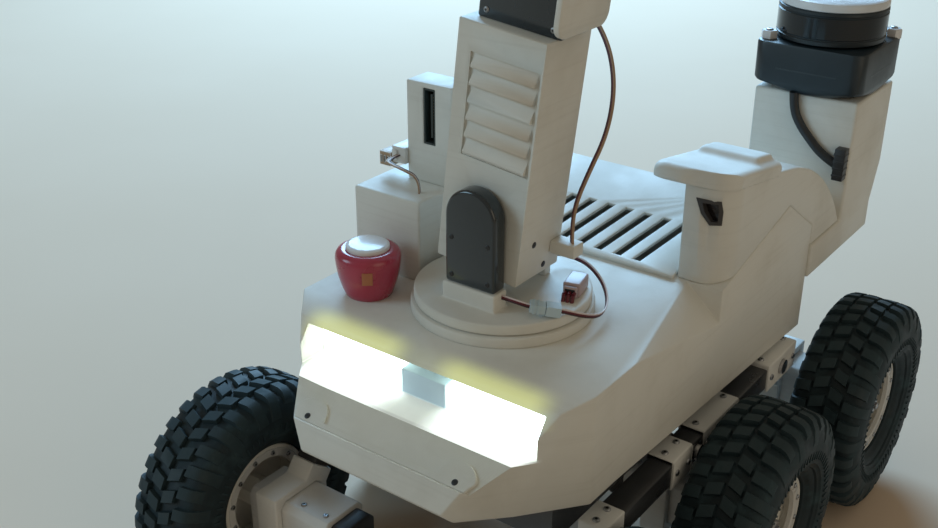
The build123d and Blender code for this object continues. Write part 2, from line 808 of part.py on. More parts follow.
# Foot servo in front of the column and a plain ear behind it, each with its pin
pivot_height = disc_top + pivot_rise
column_front = mast_y - column_depth / 2
column_back = mast_y + column_depth / 2
servo_back = column_front - ear_gap
servo_front = servo_back - foot_servo_depth
servo_half = foot_servo_width / 2
plinth_top = disc_top + plinth_height
disc += block(mast_x - servo_half - plinth_reach, mast_x + servo_half + plinth_reach,
              servo_front - plinth_reach, servo_back, disc_top, plinth_top)
save("turntable_disc", disc)
foot_servo = block(mast_x - servo_half, mast_x + servo_half, servo_front, servo_back, plinth_top,
                   pivot_height)
foot_servo += rod_y(mast_x, servo_front, servo_back, pivot_height, servo_half)
foot_servo += rod_y(mast_x, servo_back, servo_back + pin_reach, pivot_height, pin_radius)
save("foot_servo", foot_servo)
ear_front = column_back + ear_gap
ear_back = ear_front + rear_ear_depth
ear_half = rear_ear_width / 2
rear_ear = block(mast_x - ear_half, mast_x + ear_half, ear_front, ear_back, disc_top, pivot_height)
rear_ear += rod_y(mast_x, ear_front, ear_back, pivot_height, ear_half)
rear_ear += rod_y(mast_x, ear_front - pin_reach, ear_front, pivot_height, pin_radius)
save("rear_ear", rear_ear)
lead("foot_lead", foot_lead_route, lead_diameter)


def lean(shape):
    """Tips what is drawn upright by the mast's lean, about its foot pivot."""
    return shape.rotate(Axis((mast_x, mast_y, pivot_height), (0, 1, 0)), mast_lean)


# Column with a louvred vent in its front
column_top = pivot_height + column_rise
column = block(mast_x - column_width / 2, mast_x + column_width / 2, column_front, column_back,
               pivot_height - column_foot, column_top)
column -= rod_y(mast_x, column_front - 1, column_front + pin_reach + 1, pivot_height,
                pin_radius + pin_clear)
column -= rod_y(mast_x, column_back - pin_reach - 1, column_back + 1, pivot_height,
                pin_radius + pin_clear)
vent_x = mast_x + vent_offset
panel_front = column_front + vent_depth
column -= block(vent_x - vent_width / 2, vent_x + vent_width / 2, column_front - 1, panel_front,
                pivot_height + vent_low, pivot_height + vent_high)
louvre_pitch = (vent_high - vent_low) / louvre_count
for index in range(louvre_count):
    louvre_z = pivot_height + vent_low + (index + 0.5) * louvre_pitch - louvre_rise / 2
    column += side_prism([
        (panel_front, louvre_z), (panel_front - louvre_reach, louvre_z),
        (panel_front - louvre_reach, louvre_z + louvre_lip), (panel_front, louvre_z + louvre_rise)],
        vent_x - louvre_width / 2, vent_x + louvre_width / 2)
column = lean(column)
save("mast_column", column)
column_side = mast_x + column_width / 2
clip_back = column_back - clip_inset
clip_top = pivot_height - clip_drop
clip = block(column_side - clip_root, column_side + clip_reach, clip_back - clip_width, clip_back,
             clip_top - clip_height, clip_top)
save("lead_clip", clip - column)

# Head servo on the column, with its two pins
head_x = mast_x + head_offset
head_pivot = column_top + head_pivot_rise
servo_x = head_servo_x / 2
head_servo = block(head_x - servo_x, head_x + servo_x, mast_y - head_servo_y / 2,
                   mast_y + head_servo_y / 2, column_top, column_top + head_servo_z)
pin_end = servo_x + ear_gap + yoke_thick
head_servo += rod_x(head_x - pin_end, head_x + pin_end, mast_y, head_pivot, pin_radius)
save("head_servo", lean(head_servo))
lead("mast_lead", mast_lead_route, mast_lead_diameter)

# Yoke: a narrow ear, a broad ear that hangs past the servo, and the web between them
yoke_in = servo_x + ear_gap
yoke_out = yoke_in + yoke_thick
web_base = head_pivot + yoke_web_rise
web_top = web_base + yoke_thick
yoke = block(head_x - yoke_out, head_x + yoke_out, mast_y - yoke_width / 2, mast_y + yoke_width / 2,
             web_base, web_top)
yoke += block(head_x - yoke_out, head_x - yoke_in, mast_y - yoke_width / 2, mast_y + yoke_width / 2,
              head_pivot, web_top)
yoke += rod_x(head_x - yoke_out, head_x - yoke_in, mast_y, head_pivot, yoke_width / 2)
broad_ear = block(head_x + yoke_in, head_x + yoke_out, mast_y - cheek_width / 2,
                  mast_y + cheek_width / 2, head_pivot - cheek_drop, web_top)
yoke += fillet(broad_ear.edges().filter_by(Axis.X), cheek_corner)
yoke -= rod_x(head_x - yoke_out - 1, head_x + yoke_out + 1, mast_y, head_pivot, pin_radius + pin_clear)
save("head_yoke", lean(yoke))

# Camera head with its two lenses
camera_head = block(head_x - head_width / 2, head_x + head_width / 2, mast_y - head_depth / 2,
                    mast_y + head_depth / 2, web_top, web_top + head_height)
camera_head = fillet(camera_head.edges().filter_by(Axis.Y), head_corner)
save("camera_head", lean(camera_head))
lens_z = web_top + head_height / 2
head_front = mast_y - head_depth / 2
lenses = [
    rod_y(head_x + side * lens_spread, head_front - lens_depth, head_front, lens_z, lens_radius)
    for _, side in sides
]
save("head_lenses", lean(Compound(children=lenses)))
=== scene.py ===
from math import cos, pi, radians, sin

import bmesh
import bpy
from mathutils import Matrix, Vector


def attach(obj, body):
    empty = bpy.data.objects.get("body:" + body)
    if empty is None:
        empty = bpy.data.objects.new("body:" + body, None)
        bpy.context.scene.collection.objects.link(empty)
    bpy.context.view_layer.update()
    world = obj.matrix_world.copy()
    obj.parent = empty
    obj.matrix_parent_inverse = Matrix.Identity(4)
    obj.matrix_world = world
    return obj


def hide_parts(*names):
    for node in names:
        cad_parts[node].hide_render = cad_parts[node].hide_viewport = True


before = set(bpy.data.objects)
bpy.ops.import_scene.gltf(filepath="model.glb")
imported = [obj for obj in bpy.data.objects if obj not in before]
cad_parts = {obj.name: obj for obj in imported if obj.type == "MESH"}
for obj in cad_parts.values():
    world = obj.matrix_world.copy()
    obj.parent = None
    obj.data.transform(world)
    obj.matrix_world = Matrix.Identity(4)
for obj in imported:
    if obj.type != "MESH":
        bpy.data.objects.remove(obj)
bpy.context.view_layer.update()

# Camera
# A camera with a slightly long lens looks down on the rover, from ahead of the nose and a little to
# the tower's side.
azimuth, elevation, roll = radians(36.55), radians(25.57), radians(0.18)
eye = Vector((0.26988, -0.46330, 0.41743))
back = Vector((sin(azimuth) * cos(elevation), -cos(azimuth) * cos(elevation), sin(elevation)))
level = Vector((cos(azimuth), sin(azimuth), 0.0))
upright = back.cross(level)
right = cos(roll) * level + sin(roll) * upright
up = -sin(roll) * level + cos(roll) * upright
lens = bpy.data.cameras.new("camera")
lens.sensor_width = 36.0
lens.lens = 44.73
camera = bpy.data.objects.new("camera", lens)
camera.matrix_world = Matrix.Translation(eye) @ Matrix((right, up, back)).transposed().to_4x4()
bpy.context.collection.objects.link(camera)
bpy.context.scene.camera = camera

# Leads
# Thin stranded wires in soft coloured sleeves, laid side by side as a flat servo lead or a small
# bundle, and one thick round cable in a black sheath. Each runs between two plugs or clips.
MM = 0.001


def node(tree, kind, inputs=(), **settings):
    """A shader node with its settings. An input is given as a value or as the socket that feeds it."""
    made = tree.nodes.new("ShaderNode" + kind)
    for name, value in settings.items():
        setattr(made, name, value)
    for name, value in dict(inputs).items():
        if isinstance(value, bpy.types.NodeSocket):
            tree.links.new(value, made.inputs[name])
        else:
            made.inputs[name].default_value = value
    return made


def maths(tree, operation, *values):
    """The result of one operation on values or sockets."""
    return node(tree, "Math", dict(enumerate(values)), operation=operation).outputs[0]


def product(tree, first, *others):
    """The product of values or sockets."""
    for other in others:
        first = maths(tree, "MULTIPLY", first, other)
    return first


def between(tree, share, first, second, mode="MIX"):
    """A colour between two colours, by a share that is a value or a socket."""
    made = node(tree, "Mix", {0: share, 6: first, 7: second}, data_type="RGBA", blend_type=mode)
    return made.outputs[2]


def spread(tree, value, low, high, start, end):
    """A value carried smoothly from one range to another."""
    inputs = {"Value": value, "From Min": low, "From Max": high, "To Min": start, "To Max": end}
    return node(tree, "MapRange", inputs, interpolation_type="SMOOTHSTEP").outputs[0]


def noise(tree, coords, scale, detail, roughness=0.5):
    """A cloudy value over a surface."""
    inputs = {"Vector": coords, "Scale": scale, "Detail": detail, "Roughness": roughness}
    return node(tree, "TexNoise", inputs).outputs[0]


def new_group(name, *inputs):
    """An empty shader group with named inputs, which puts out a colour, a roughness and a height."""
    group = bpy.data.node_groups.new(name, "ShaderNodeTree")
    for label, kind, value in inputs:
        socket = group.interface.new_socket(label, in_out="INPUT", socket_type="NodeSocket" + kind)
        socket.default_value = value
    for label, kind in (("Color", "Color"), ("Roughness", "Float"), ("Height", "Float")):
        group.interface.new_socket(label, in_out="OUTPUT", socket_type="NodeSocket" + kind)
    return group, group.nodes.new("NodeGroupInput").outputs, group.nodes.new("NodeGroupOutput")


def give(group, ending, **values):
    """Feeds a group's named outputs."""
    for label, socket in values.items():
        group.links.new(socket, ending.inputs[label])


# The grain of a moulded surface: patches of tone and gloss, a fine pebble, and paler worn edges
tree, taken, ending = new_group(
    "moulded grain", ("Tone", "Color", (0.5, 0.5, 0.5, 1)), ("Worn", "Color", (0.8, 0.8, 0.8, 1)),
    ("Roughness", "Float", 0.4), ("Grain", "Float", 900.0))
coords = node(tree, "TexCoord").outputs["Object"]
patches = noise(tree, coords, 45.0, 4.0)
pebble = noise(tree, coords, taken["Grain"], 2.0)
edges = node(tree, "NewGeometry").outputs["Pointiness"]
worn = product(tree, spread(tree, edges, 0.52, 0.62, 0.0, 0.5), patches)
deeper = between(tree, 1.0, taken["Tone"], (0.86, 0.86, 0.86, 1), "MULTIPLY")
tone = between(tree, spread(tree, patches, 0.35, 0.65, 0.0, 1.0), deeper, taken["Tone"])
dulled = spread(tree, patches, 0.3, 0.7, -0.05, 0.08)
give(tree, ending, Color=between(tree, worn, tone, taken["Worn"]),
     Roughness=maths(tree, "ADD", taken["Roughness"], dulled), Height=pebble)
moulded_grain = tree


def finish(name, group, values, bump, **sockets):
    """A material whose colour, gloss and relief come from one group. The rest is set on its shader."""
    material = bpy.data.materials.new(name)
    material.use_nodes = True
    tree = material.node_tree
    shader = tree.nodes["Principled BSDF"]
    surface = node(tree, "Group", node_tree=group)
    for label, value in values.items():
        surface.inputs[label].default_value = value
    relief = node(tree, "Bump", {"Height": surface.outputs["Height"], "Distance": bump, "Strength": 0.6})
    tree.links.new(surface.outputs["Color"], shader.inputs["Base Color"])
    tree.links.new(surface.outputs["Roughness"], shader.inputs["Roughness"])
    tree.links.new(relief.outputs[0], shader.inputs["Normal"])
    for label, value in sockets.items():
        shader.inputs[label.replace("_", " ")].default_value = value
    return material


def moulded(name, tone, roughness=0.35, worn=None, grain=900.0, bump=0.00004, **sockets):
    """A moulded plastic, a rubber or a metal with a fine grain."""
    values = {"Tone": (*tone, 1), "Worn": (*(worn or tone), 1), "Roughness": roughness, "Grain": grain}
    return finish(name, moulded_grain, values, bump, **sockets)


def place(name, mesh, materials, body, nodes=()):
    """Makes a built mesh a piece, smooth up to a crease, with its body and what it replaces."""
    bmesh.ops.recalc_face_normals(mesh, faces=mesh.faces)
    data = bpy.data.meshes.new(name)
    mesh.to_mesh(data)
    mesh.free()
    for material in materials:
        data.materials.append(material)
    shape = bpy.data.objects.new(name, data)
    bpy.context.collection.objects.link(shape)
    shape.data.shade_smooth()
    shape.data.set_sharp_from_angle(angle=radians(34))
    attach(shape, body)
    if nodes:
        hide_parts(*nodes)
    return shape


def skin(mesh, rings, joined=False, tone=0):
    """Adds the faces between rings of points, with a lid at each end, or joined into a closed ring."""
    faces = []
    pairs = list(zip(rings, rings[1:]))
    if joined:
        pairs.append((rings[-1], rings[0]))
    else:
        faces += [mesh.faces.new(rings[0]), mesh.faces.new(rings[-1])]
    for near, far in pairs:
        for step in range(len(near)):
            after = (step + 1) % len(near)
            faces.append(mesh.faces.new((near[step], near[after], far[after], far[step])))
    for face in faces:
        face.material_index = tone


def smooth_route(route):
    """The points along the smooth line of a lead, in metres, from its route in millimetres."""
    curve = bpy.data.curves.new("route", "CURVE")
    curve.dimensions = "3D"
    spline = curve.splines.new("NURBS")
    spline.points.add(len(route) - 1)
    for point, spot in zip(spline.points, route):
        point.co = (*(Vector(spot) * MM), 1.0)
    spline.order_u = 3
    spline.use_endpoint_u = True
    spline.resolution_u = 10
    holder = bpy.data.objects.new("route", curve)
    line = bpy.data.meshes.new_from_object(holder)
    points = [vertex.co.copy() for vertex in line.vertices]
    bpy.data.objects.remove(holder)
    bpy.data.curves.remove(curve)
    bpy.data.meshes.remove(line)
    return points


def wires(name, route, width, sleeves, across, body, nodes,
          sides=10):
    """A lead of one wire for each sleeve, side by side over its width, along its route."""
    points = smooth_route(route)
    mesh = bmesh.new()
    pitch = width / len(sleeves)
    wire_radius = 0.495 * pitch
    turns = [2 * pi * step / sides for step in range(sides)]
    side = Vector(across)
    tubes = [[] for _ in sleeves]
    for index, point in enumerate(points):
        ahead = (points[min(index + 1, len(points) - 1)] - points[max(index - 1, 0)]).normalized()
        side = (side - side.dot(ahead) * ahead).normalized()
        rise = ahead.cross(side)
        for number, tube in enumerate(tubes):
            middle = point + side * (number - (len(sleeves) - 1) / 2) * pitch
            tube.append([mesh.verts.new(middle + wire_radius * (cos(turn) * side + sin(turn) * rise))
                         for turn in turns])
    for number, tube in enumerate(tubes):
        skin(mesh, tube, tone=number)
    lead = place(name, mesh, sleeves, body, nodes)
    return lead


sleeve_black = moulded("sleeve black", (0.018, 0.02, 0.023), 0.42, grain=1500.0)
sleeve_maroon = moulded("sleeve maroon", (0.16, 0.018, 0.03), 0.4, grain=1500.0)
sleeve_dark = moulded("sleeve dark brown", (0.07, 0.03, 0.035), 0.4, grain=1500.0)
sleeve_pale = moulded("sleeve pale", (0.72, 0.6, 0.57), 0.42, grain=1500.0)
sleeve_tan = moulded("sleeve tan", (0.42, 0.27, 0.17), 0.4, grain=1500.0)
wires("scanner_cable_sheath", [
    (45.0, 139.2, 227.0), (45.8, 139.2, 218.0), (50.5, 139.2, 209.5), (57.5, 139.2, 202.0),
    (65.0, 139.2, 195.0), (73.5, 139.2, 191.0)],
    5.0 * MM, [sleeve_black], (1, 0, 0), "chassis",
    ["scanner_cable"], 20)
wires("case_lead_wires", [
    (-68.0, -64.0, 225.0), (-68.0, -72.0, 225.0), (-62.0, -78.0, 226.5), (-53.5, -78.5, 225.5),
    (-47.0, -74.5, 221.5), (-47.0, -74.5, 214.0)],
    2.4 * MM, [sleeve_tan, sleeve_pale, sleeve_dark], (1, 0, 0), "chassis",
    ["case_lead"])
wires("mast_lead_wires", [
    (22.0, -69.0, 311.0), (22.0, -60.5, 311.5), (25.0, -53.0, 306.5), (30.5, -49.0, 297.5),
    (36.5, -49.5, 286.0), (41.0, -54.0, 272.0), (41.0, -59.0, 256.0), (36.8, -64.0, 241.0),
    (33.0, -67.0, 227.5), (31.8, -67.8, 217.0), (32.2, -67.8, 208.0)],
    3.4 * MM, [sleeve_dark, sleeve_maroon, sleeve_tan], (1, 0.5, 0), "column",
    ["mast_lead"])
foot_route = [
    (18.0, -100.0, 190.5), (25.0, -100.0, 190.5), (32.5, -97.5, 189.0), (41.0, -91.0, 187.8),
    (48.5, -81.5, 183.0), (50.0, -70.0, 178.8), (46.5, -58.5, 178.8), (39.0, -49.5, 183.0),
    (29.0, -45.5, 187.8), (19.5, -44.0, 188.8), (10.5, -47.0, 190.0), (10.5, -56.9, 190.0)]
foot_line = smooth_route(foot_route)

# The plug and socket in the foot lead: two boxes with a gap between them, and two grip ribs
plug_blue = moulded("lead plug", (0.50, 0.62, 0.68), 0.4, grain=700.0)
start, end = (min(foot_line, key=lambda point: (point - Vector(spot) * MM).length)
              for spot in ((31.0, -98.0, 189.2), (41.5, -90.0, 187.2)))
plug_axis = (end - start).normalized()
plug_side = plug_axis.cross((0, 0, 1)).normalized()
plug_rise = plug_side.cross(plug_axis)
plug_mesh = bmesh.new()
for low, high, half, tall in ((0.0, 0.5, 2.6, 1.9), (0.52, 1.0, 2.9, 2.2), (0.1, 0.16, 2.9, 2.2),
                              (0.25, 0.31, 2.9, 2.2)):
    ends = []
    for share in (low, high):
        middle = start.lerp(end, share)
        ends.append([plug_mesh.verts.new(middle + (a * half * plug_side + b * tall * plug_rise) * MM)
                     for a, b in ((-1, -1), (1, -1), (1, 1), (-1, 1))])
    skin(plug_mesh, ends)
foot_plug = place("foot_lead_plug", plug_mesh, [plug_blue], "turntable")
wires("foot_lead_wires", foot_route, 2.4 * MM, [sleeve_dark, sleeve_maroon, sleeve_pale], (0, 0, 1),
      "turntable", ["foot_lead"])

# Chassis tub
# The tray that the suspension hangs on, printed in dark grey plastic. Its layers show as fine level
# lines on the walls and as slanting passes on level faces.
tree, taken, ending = new_group(
    "printed layers", ("Tone", "Color", (0.8, 0.8, 0.8, 1)), ("Deep", "Color", (0.6, 0.6, 0.6, 1)),
    ("Roughness", "Float", 0.5), ("Layer", "Float", 0.0003), ("Stain", "Float", 0.35))
coords = node(tree, "TexCoord").outputs
spot = node(tree, "SeparateXYZ", {"Vector": coords["Object"]}).outputs
facing = node(tree, "SeparateXYZ", {"Vector": coords["Normal"]}).outputs
level_face = maths(tree, "GREATER_THAN", maths(tree, "ABSOLUTE", facing["Z"]), 0.9)
pass_line = product(tree, maths(tree, "ADD", spot["X"], spot["Y"]), 0.7)
counted = node(tree, "Mix", {0: level_face, 2: spot["Z"], 3: pass_line}).outputs[0]
turns = product(tree, maths(tree, "DIVIDE", counted, taken["Layer"]), 2 * pi)
ridge = maths(tree, "MULTIPLY_ADD", maths(tree, "SINE", turns), 0.5, 0.5)
clouds = noise(tree, coords["Object"], 22.0, 5.0, 0.6)
stretched = node(tree, "Mapping", {"Vector": coords["Object"], "Scale": (12.0, 12.0, 420.0)}).outputs[0]
bands = noise(tree, stretched, 1.0, 3.0)
speck = noise(tree, coords["Object"], 1600.0, 2.0)
edges = node(tree, "NewGeometry").outputs["Pointiness"]
soiled = product(tree, spread(tree, clouds, 0.42, 0.7, 0.0, 1.0), taken["Stain"])
banded = product(tree, spread(tree, bands, 0.5, 0.75, 0.0, 0.5), taken["Stain"])
# Painted shade: the colour darkens towards the deep tone in creases and inner corners
painted_crease_shade = spread(tree, edges, 0.5, 0.4, 0.0, 0.5)
stains_and_crease_shade = maths(tree, "MAXIMUM", maths(tree, "ADD", soiled, banded), painted_crease_shade)
shown = between(tree, stains_and_crease_shade, taken["Tone"], taken["Deep"])
dulled = spread(tree, clouds, 0.35, 0.65, -0.06, 0.1)
give(tree, ending, Color=between(tree, product(tree, ridge, 0.12), shown, taken["Deep"]),
     Roughness=maths(tree, "ADD", taken["Roughness"], dulled),
     Height=maths(tree, "MULTIPLY_ADD", speck, 0.5, ridge))
printed_layers = tree


def printed(name, tone, deep, roughness=0.5, layer=0.0003, stain=0.35, bump=0.00005, **sockets):
    """A printed plastic with its layers."""
    values = {"Tone": (*tone, 1), "Deep": (*deep, 1), "Roughness": roughness, "Layer": layer,
              "Stain": stain}
    return finish(name, printed_layers, values, bump, **sockets)


def dress(name, material):
    """Gives a node that keeps its own shape a better material."""
    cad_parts[name].material_slots[0].material = material


dress("chassis_tub", printed("dark printed tub", (0.13, 0.132, 0.138), (0.07, 0.07, 0.075), 0.55))

# Suspension
# Printed off-white joints and hub clamps, pinned together in rockers and bogies on each side, with
# black square tubes between them. The joints are held on the tubes by small screws.


def copied(name):
    """The outline of a node as a mesh, with its flat faces joined up."""
    mesh = bmesh.new()
    mesh.from_mesh(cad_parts[name].data)
    bmesh.ops.remove_doubles(mesh, verts=mesh.verts, dist=1e-6)
    bmesh.ops.dissolve_limit(mesh, angle_limit=radians(0.5), verts=mesh.verts, edges=mesh.edges)
    return mesh


def rounded(mesh, width, steps=2, sharp=None):
    """Rounds the edges of a mesh, apart from those whose middle, in millimetres, is in a sharp place."""
    edges = []
    for edge in mesh.edges:
        middle = (edge.verts[0].co + edge.verts[1].co) / 2 / MM
        if edge.is_manifold and edge.calc_face_angle() > radians(28) and not (sharp and sharp(middle)):
            edges.append(edge)
    bmesh.ops.bevel(mesh, geom=edges, offset=width * MM, segments=steps, profile=0.5, affect="EDGES",
                    clamp_overlap=False)
    return mesh


def eased(name, replaced, width, material, body, steps=2, sharp=None):
    """Makes a piece of a node's own outline, with its edges rounded by a width in millimetres."""
    place(name, rounded(copied(replaced), width, steps, sharp), [material], body, [replaced])


def turned(mesh, profile, count, where=Matrix.Identity(4), tone=0, ring=False):
    """Adds a solid turned about the Z of its place, by (height, radius) in millimetres, or a ring."""
    rings = []
    for height, radius in profile:
        height, radius = height * MM, radius * MM
        rings.append([
            mesh.verts.new(where @ Vector((radius * cos(turn), radius * sin(turn), height)))
            for turn in (2 * pi * step / count for step in range(count))])
    skin(mesh, rings, ring, tone)


def facing_to(direction, spot):
    """A place at a spot, in millimetres, whose Z points in a direction."""
    aim = Vector(direction).to_track_quat("Z", "Y").to_matrix().to_4x4()
    return Matrix.Translation(Vector(spot) * MM) @ aim


def screw(mesh, where, radius, height, tone=0):
    """Adds a button-head screw on the origin of its place, its flat hex socket in painted shade."""
    button_head = [(-0.3 * height, radius * 0.96), (0, radius), (0.4 * height, radius),
                   (0.8 * height, radius * 0.86), (height, radius * 0.6), (height, radius * 0.5)]
    turned(mesh, button_head, 18, where, tone)
    turned(mesh, [(height * 0.98, radius * 0.42), (height * 1.01, radius * 0.42)], 6, where, tone + 1)


beam_print = printed("printed beam", (0.78, 0.78, 0.76), (0.56, 0.55, 0.52), 0.48, stain=0.3)
tube_black = moulded("tube black", (0.02, 0.022, 0.025), 0.3, (0.12, 0.12, 0.13), grain=1200.0)
screw_steel = moulded("screw steel", (0.42, 0.43, 0.45), 0.3, (0.7, 0.7, 0.72), Metallic=1.0)
# Painted shade: a flat dark hexagon stands for the shade down each screw's socket
painted_socket_shade = moulded("painted socket shade", (0.015, 0.015, 0.017), 0.6)
pin_steel = moulded("turned pin", (0.5, 0.5, 0.52), 0.25, (0.75, 0.75, 0.76), grain=2400.0, Metallic=1.0)
dress("pivot_pins", pin_steel)
eased("square_tubes", "suspension_tubes", 0.9, tube_black, "chassis")
sides = (("left", -1), ("right", 1))
rocker_blocks = ((-117, -100), (-56, -37), (-25, 13), (50, 86))
screw_inset = 4
beam_middle, beam_top = 77.25, 108.4
beam_face, side_screw_height = 83.9, 100.5
for side_name, side in sides:
    for beam in (f"rocker_{side_name}", f"bogie_{side_name}"):
        eased(f"{beam}_joints", beam, 0.8, beam_print, "chassis")
    screws = bmesh.new()
    for front, rear in rocker_blocks:
        for y in (front + screw_inset, rear - screw_inset):
            screw(screws, facing_to((0, 0, 1), (side * beam_middle, y, beam_top)), 1.7, 1.1)
            screw(screws, facing_to((side, 0, 0), (side * beam_face, y, side_screw_height)), 1.7, 1.1)
    place(f"joint_screws_{side_name}", screws, [screw_steel, painted_socket_shade], "chassis")

# Drive motors
# Gear motors in printed square sleeves that the hub clamps hold, with black end caps inwards. The
# shaft turns in the bore at the outer end, among four screws.
sleeve_print = printed("printed motor sleeve", (0.76, 0.76, 0.75), (0.52, 0.51, 0.5), 0.42, stain=0.4)
cap_black = moulded("motor cap black", (0.02, 0.021, 0.024), 0.38, (0.1, 0.1, 0.11))
eased("motor_sleeves", "drive_motors", 0.8, sleeve_print, "chassis")
eased("motor_end_caps", "motor_caps", 0.9, cap_black, "chassis")
axles = (("front", -140), ("middle", -12), ("rear", 126))
axle_height = 60
sleeve_end, sleeve_top = 92.9, 73.4
screws = bmesh.new()
for _, side in sides:
    for _, axle_y in axles:
        for y, z in ((-8, -8), (-8, 8), (8, -8), (8, 8)):
            seat = (side * sleeve_end, axle_y + y, axle_height + z)
            screw(screws, facing_to((side, 0, 0), seat), 1.6, 1.0)
        for x in (48, 62):
            screw(screws, facing_to((0, 0, 1), (side * x, axle_y - 7, sleeve_top)), 1.5, 0.9)
place("motor_screws", screws, [screw_steel, painted_socket_shade], "chassis")

# Rims
# Moulded off-white rims with a clamping ring on each face, held by twelve small screws. A flat dish
# carries the six-sided hub, the drive shaft and the wheel nut.
rim_plastic = moulded("rim plastic", (0.72, 0.70, 0.65), 0.33, (0.85, 0.84, 0.8), grain=700.0)
ring_plastic = moulded("rim ring", (0.62, 0.62, 0.61), 0.26, (0.85, 0.85, 0.85), grain=700.0)
rim_steel = moulded("wheel nut", (0.36, 0.36, 0.38), 0.28, (0.7, 0.7, 0.72), Metallic=1.0)
rim_screw_count = 12
rim_screw_circle, ring_face = 23.2 * MM, 12.5 * MM
barrel = [(-12.4, 27.2), (-11.6, 27.6), (11.6, 27.6), (12.4, 27.2), (12.4, 25.4), (10.0, 24.9),
          (-10.0, 24.9), (-12.4, 25.4)]
clamping_ring = [(9.6, 25.6), (12.0, 25.6), (12.6, 25.0), (12.6, 21.4), (12.0, 20.6), (9.9, 20.6),
                 (9.6, 21.0)]
dish = [(3.0, 25.0), (6.0, 25.0), (6.0, 21.5), (5.2, 20.6), (5.2, 13.0), (6.2, 11.8), (8.6, 9.6),
        (8.6, 6.4), (6.6, 5.8), (3.0, 5.8)]
hub = [(-8.9, 7.2), (-8.4, 7.9), (3.2, 7.9)]
drive_shaft = [(-27, 2.6), (-26.6, 3), (-8.8, 3)]
wheel_nut = [(5.9, 4.9), (11.2, 4.9), (12, 4.3)]
shaft_end = [(11, 2), (13.2, 2), (13.6, 1.6)]
rim_mesh = bmesh.new()
turned(rim_mesh, barrel, 64, ring=True)
for way in (-1, 1):
    turned(rim_mesh, [(way * height, radius) for height, radius in clamping_ring], 64, tone=1, ring=True)
    flip = Matrix.Rotation(0 if way > 0 else pi, 4, "X")
    for index in range(rim_screw_count):
        angle = 2 * pi * (index + 0.5) / rim_screw_count
        seat = (rim_screw_circle * cos(angle), rim_screw_circle * sin(angle), way * ring_face)
        screw(rim_mesh, Matrix.Translation(seat) @ flip, 1.35, 0.9, 2)
turned(rim_mesh, dish, 64, ring=True)
turned(rim_mesh, hub, 6)
for profile, count in ((drive_shaft, 24), (wheel_nut, 6), (shaft_end, 20)):
    turned(rim_mesh, profile, count, tone=4)
wheels = [(f"{axle}_{side_name}", side, y) for side_name, side in sides for axle, y in axles]
wheel_middle = 108


def wheel_set(kind, mesh, materials):
    """Puts one built mesh in the place of that piece of each wheel, its Z pointing outwards."""
    first = None
    for wheel, side, y in wheels:
        spot = (side * wheel_middle * MM, y * MM, axle_height * MM)
        body, replaced = f"wheel_{wheel}", f"{kind}_{wheel}"
        if first is None:
            first = place(f"{replaced}_made", mesh, materials, body, [replaced])
            shape = first
        else:
            shape = bpy.data.objects.new(f"{replaced}_made", first.data)
            bpy.context.collection.objects.link(shape)
        shape.matrix_world = Matrix.Translation(spot) @ Matrix.Rotation(side * pi / 2, 4, "Y")
        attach(shape, body)
        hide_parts(replaced)


wheel_set("rim", rim_mesh, [rim_plastic, ring_plastic, screw_steel, painted_socket_shade, rim_steel])

# Tyres
# Soft black rubber with two rows of slanted blocks on the tread, staggered shoulder blocks that bite
# over the side wall, and raised ribs near the bead. Pale dust stays between the blocks.


def distance(tree, across, along):
    """How far a spot lies from the origin of a plane."""
    squares = maths(tree, "ADD", product(tree, across, across), product(tree, along, along))
    return maths(tree, "SQRT", squares)


tree, taken, ending = new_group(
    "tyre dust", ("Tone", "Color", (0.02, 0.02, 0.02, 1)), ("Dust", "Color", (0.2, 0.2, 0.2, 1)),
    ("Tread Radius", "Float", 0.0575), ("Amount", "Float", 0.5))
coords = node(tree, "TexCoord").outputs["Object"]
spot = node(tree, "SeparateXYZ", {"Vector": coords}).outputs
sunk = maths(tree, "LESS_THAN", distance(tree, spot["X"], spot["Y"]), taken["Tread Radius"])
clouds = noise(tree, coords, 90.0, 6.0)
crumbs = noise(tree, coords, 1300.0, 3.0)
edges = node(tree, "NewGeometry").outputs["Pointiness"]
rubbed = product(tree, spread(tree, edges, 0.52, 0.6, 0.0, 0.5), clouds)
lying = product(tree, spread(tree, clouds, 0.45, 0.72, 0.0, 1.0), taken["Amount"],
                maths(tree, "MULTIPLY_ADD", sunk, 0.6, 0.4))
give(tree, ending,
     Color=between(tree, maths(tree, "MAXIMUM", lying, rubbed), taken["Tone"], taken["Dust"]),
     Roughness=spread(tree, clouds, 0.3, 0.7, 0.55, 0.8), Height=crumbs)
tyre_dust = tree
dusting = {"Tone": (0.007, 0.019, 0.026, 1), "Dust": (0.05, 0.09, 0.105, 1), "Amount": 0.5}
tyre_rubber = finish("tyre rubber", tyre_dust, dusting, 0.00008, Specular_IOR_Level=0.4)
tyre_pitches = 35
pitch_angle = 2 * pi / tyre_pitches
wall = [(12.5, 28.0), (13.6, 28.3), (14.4, 29.6), (15.4, 30.2), (16.6, 31.6), (17.2, 33.6), (18.2, 34.0),
        (18.8, 35.6), (19.6, 36.2), (20.3, 39.5), (20.7, 43.5), (20.5, 47.5), (19.8, 51.0), (18.6, 53.8),
        (16.8, 55.8), (13.5, 56.9), (8.0, 57.3), (2.5, 57.4)]
tyre_mesh = bmesh.new()
turned(tyre_mesh, wall + [(-height, radius) for height, radius in reversed(wall)], 140, ring=True)


def block_of_tread(mesh, line, angle, half_top, half_base, skew):
    """Adds a block along a line of (height, base radius, top radius), whose flanks draw in."""
    ends = []
    for height, base, top in line:
        middle = angle + skew * height
        end = []
        for radius, aside in ((base, -half_base), (top, -half_top), (top, half_top), (base, half_base)):
            turn = middle + aside / radius
            end.append(mesh.verts.new((radius * MM * cos(turn), radius * MM * sin(turn), height * MM)))
        ends.append(end)
    skin(mesh, ends)


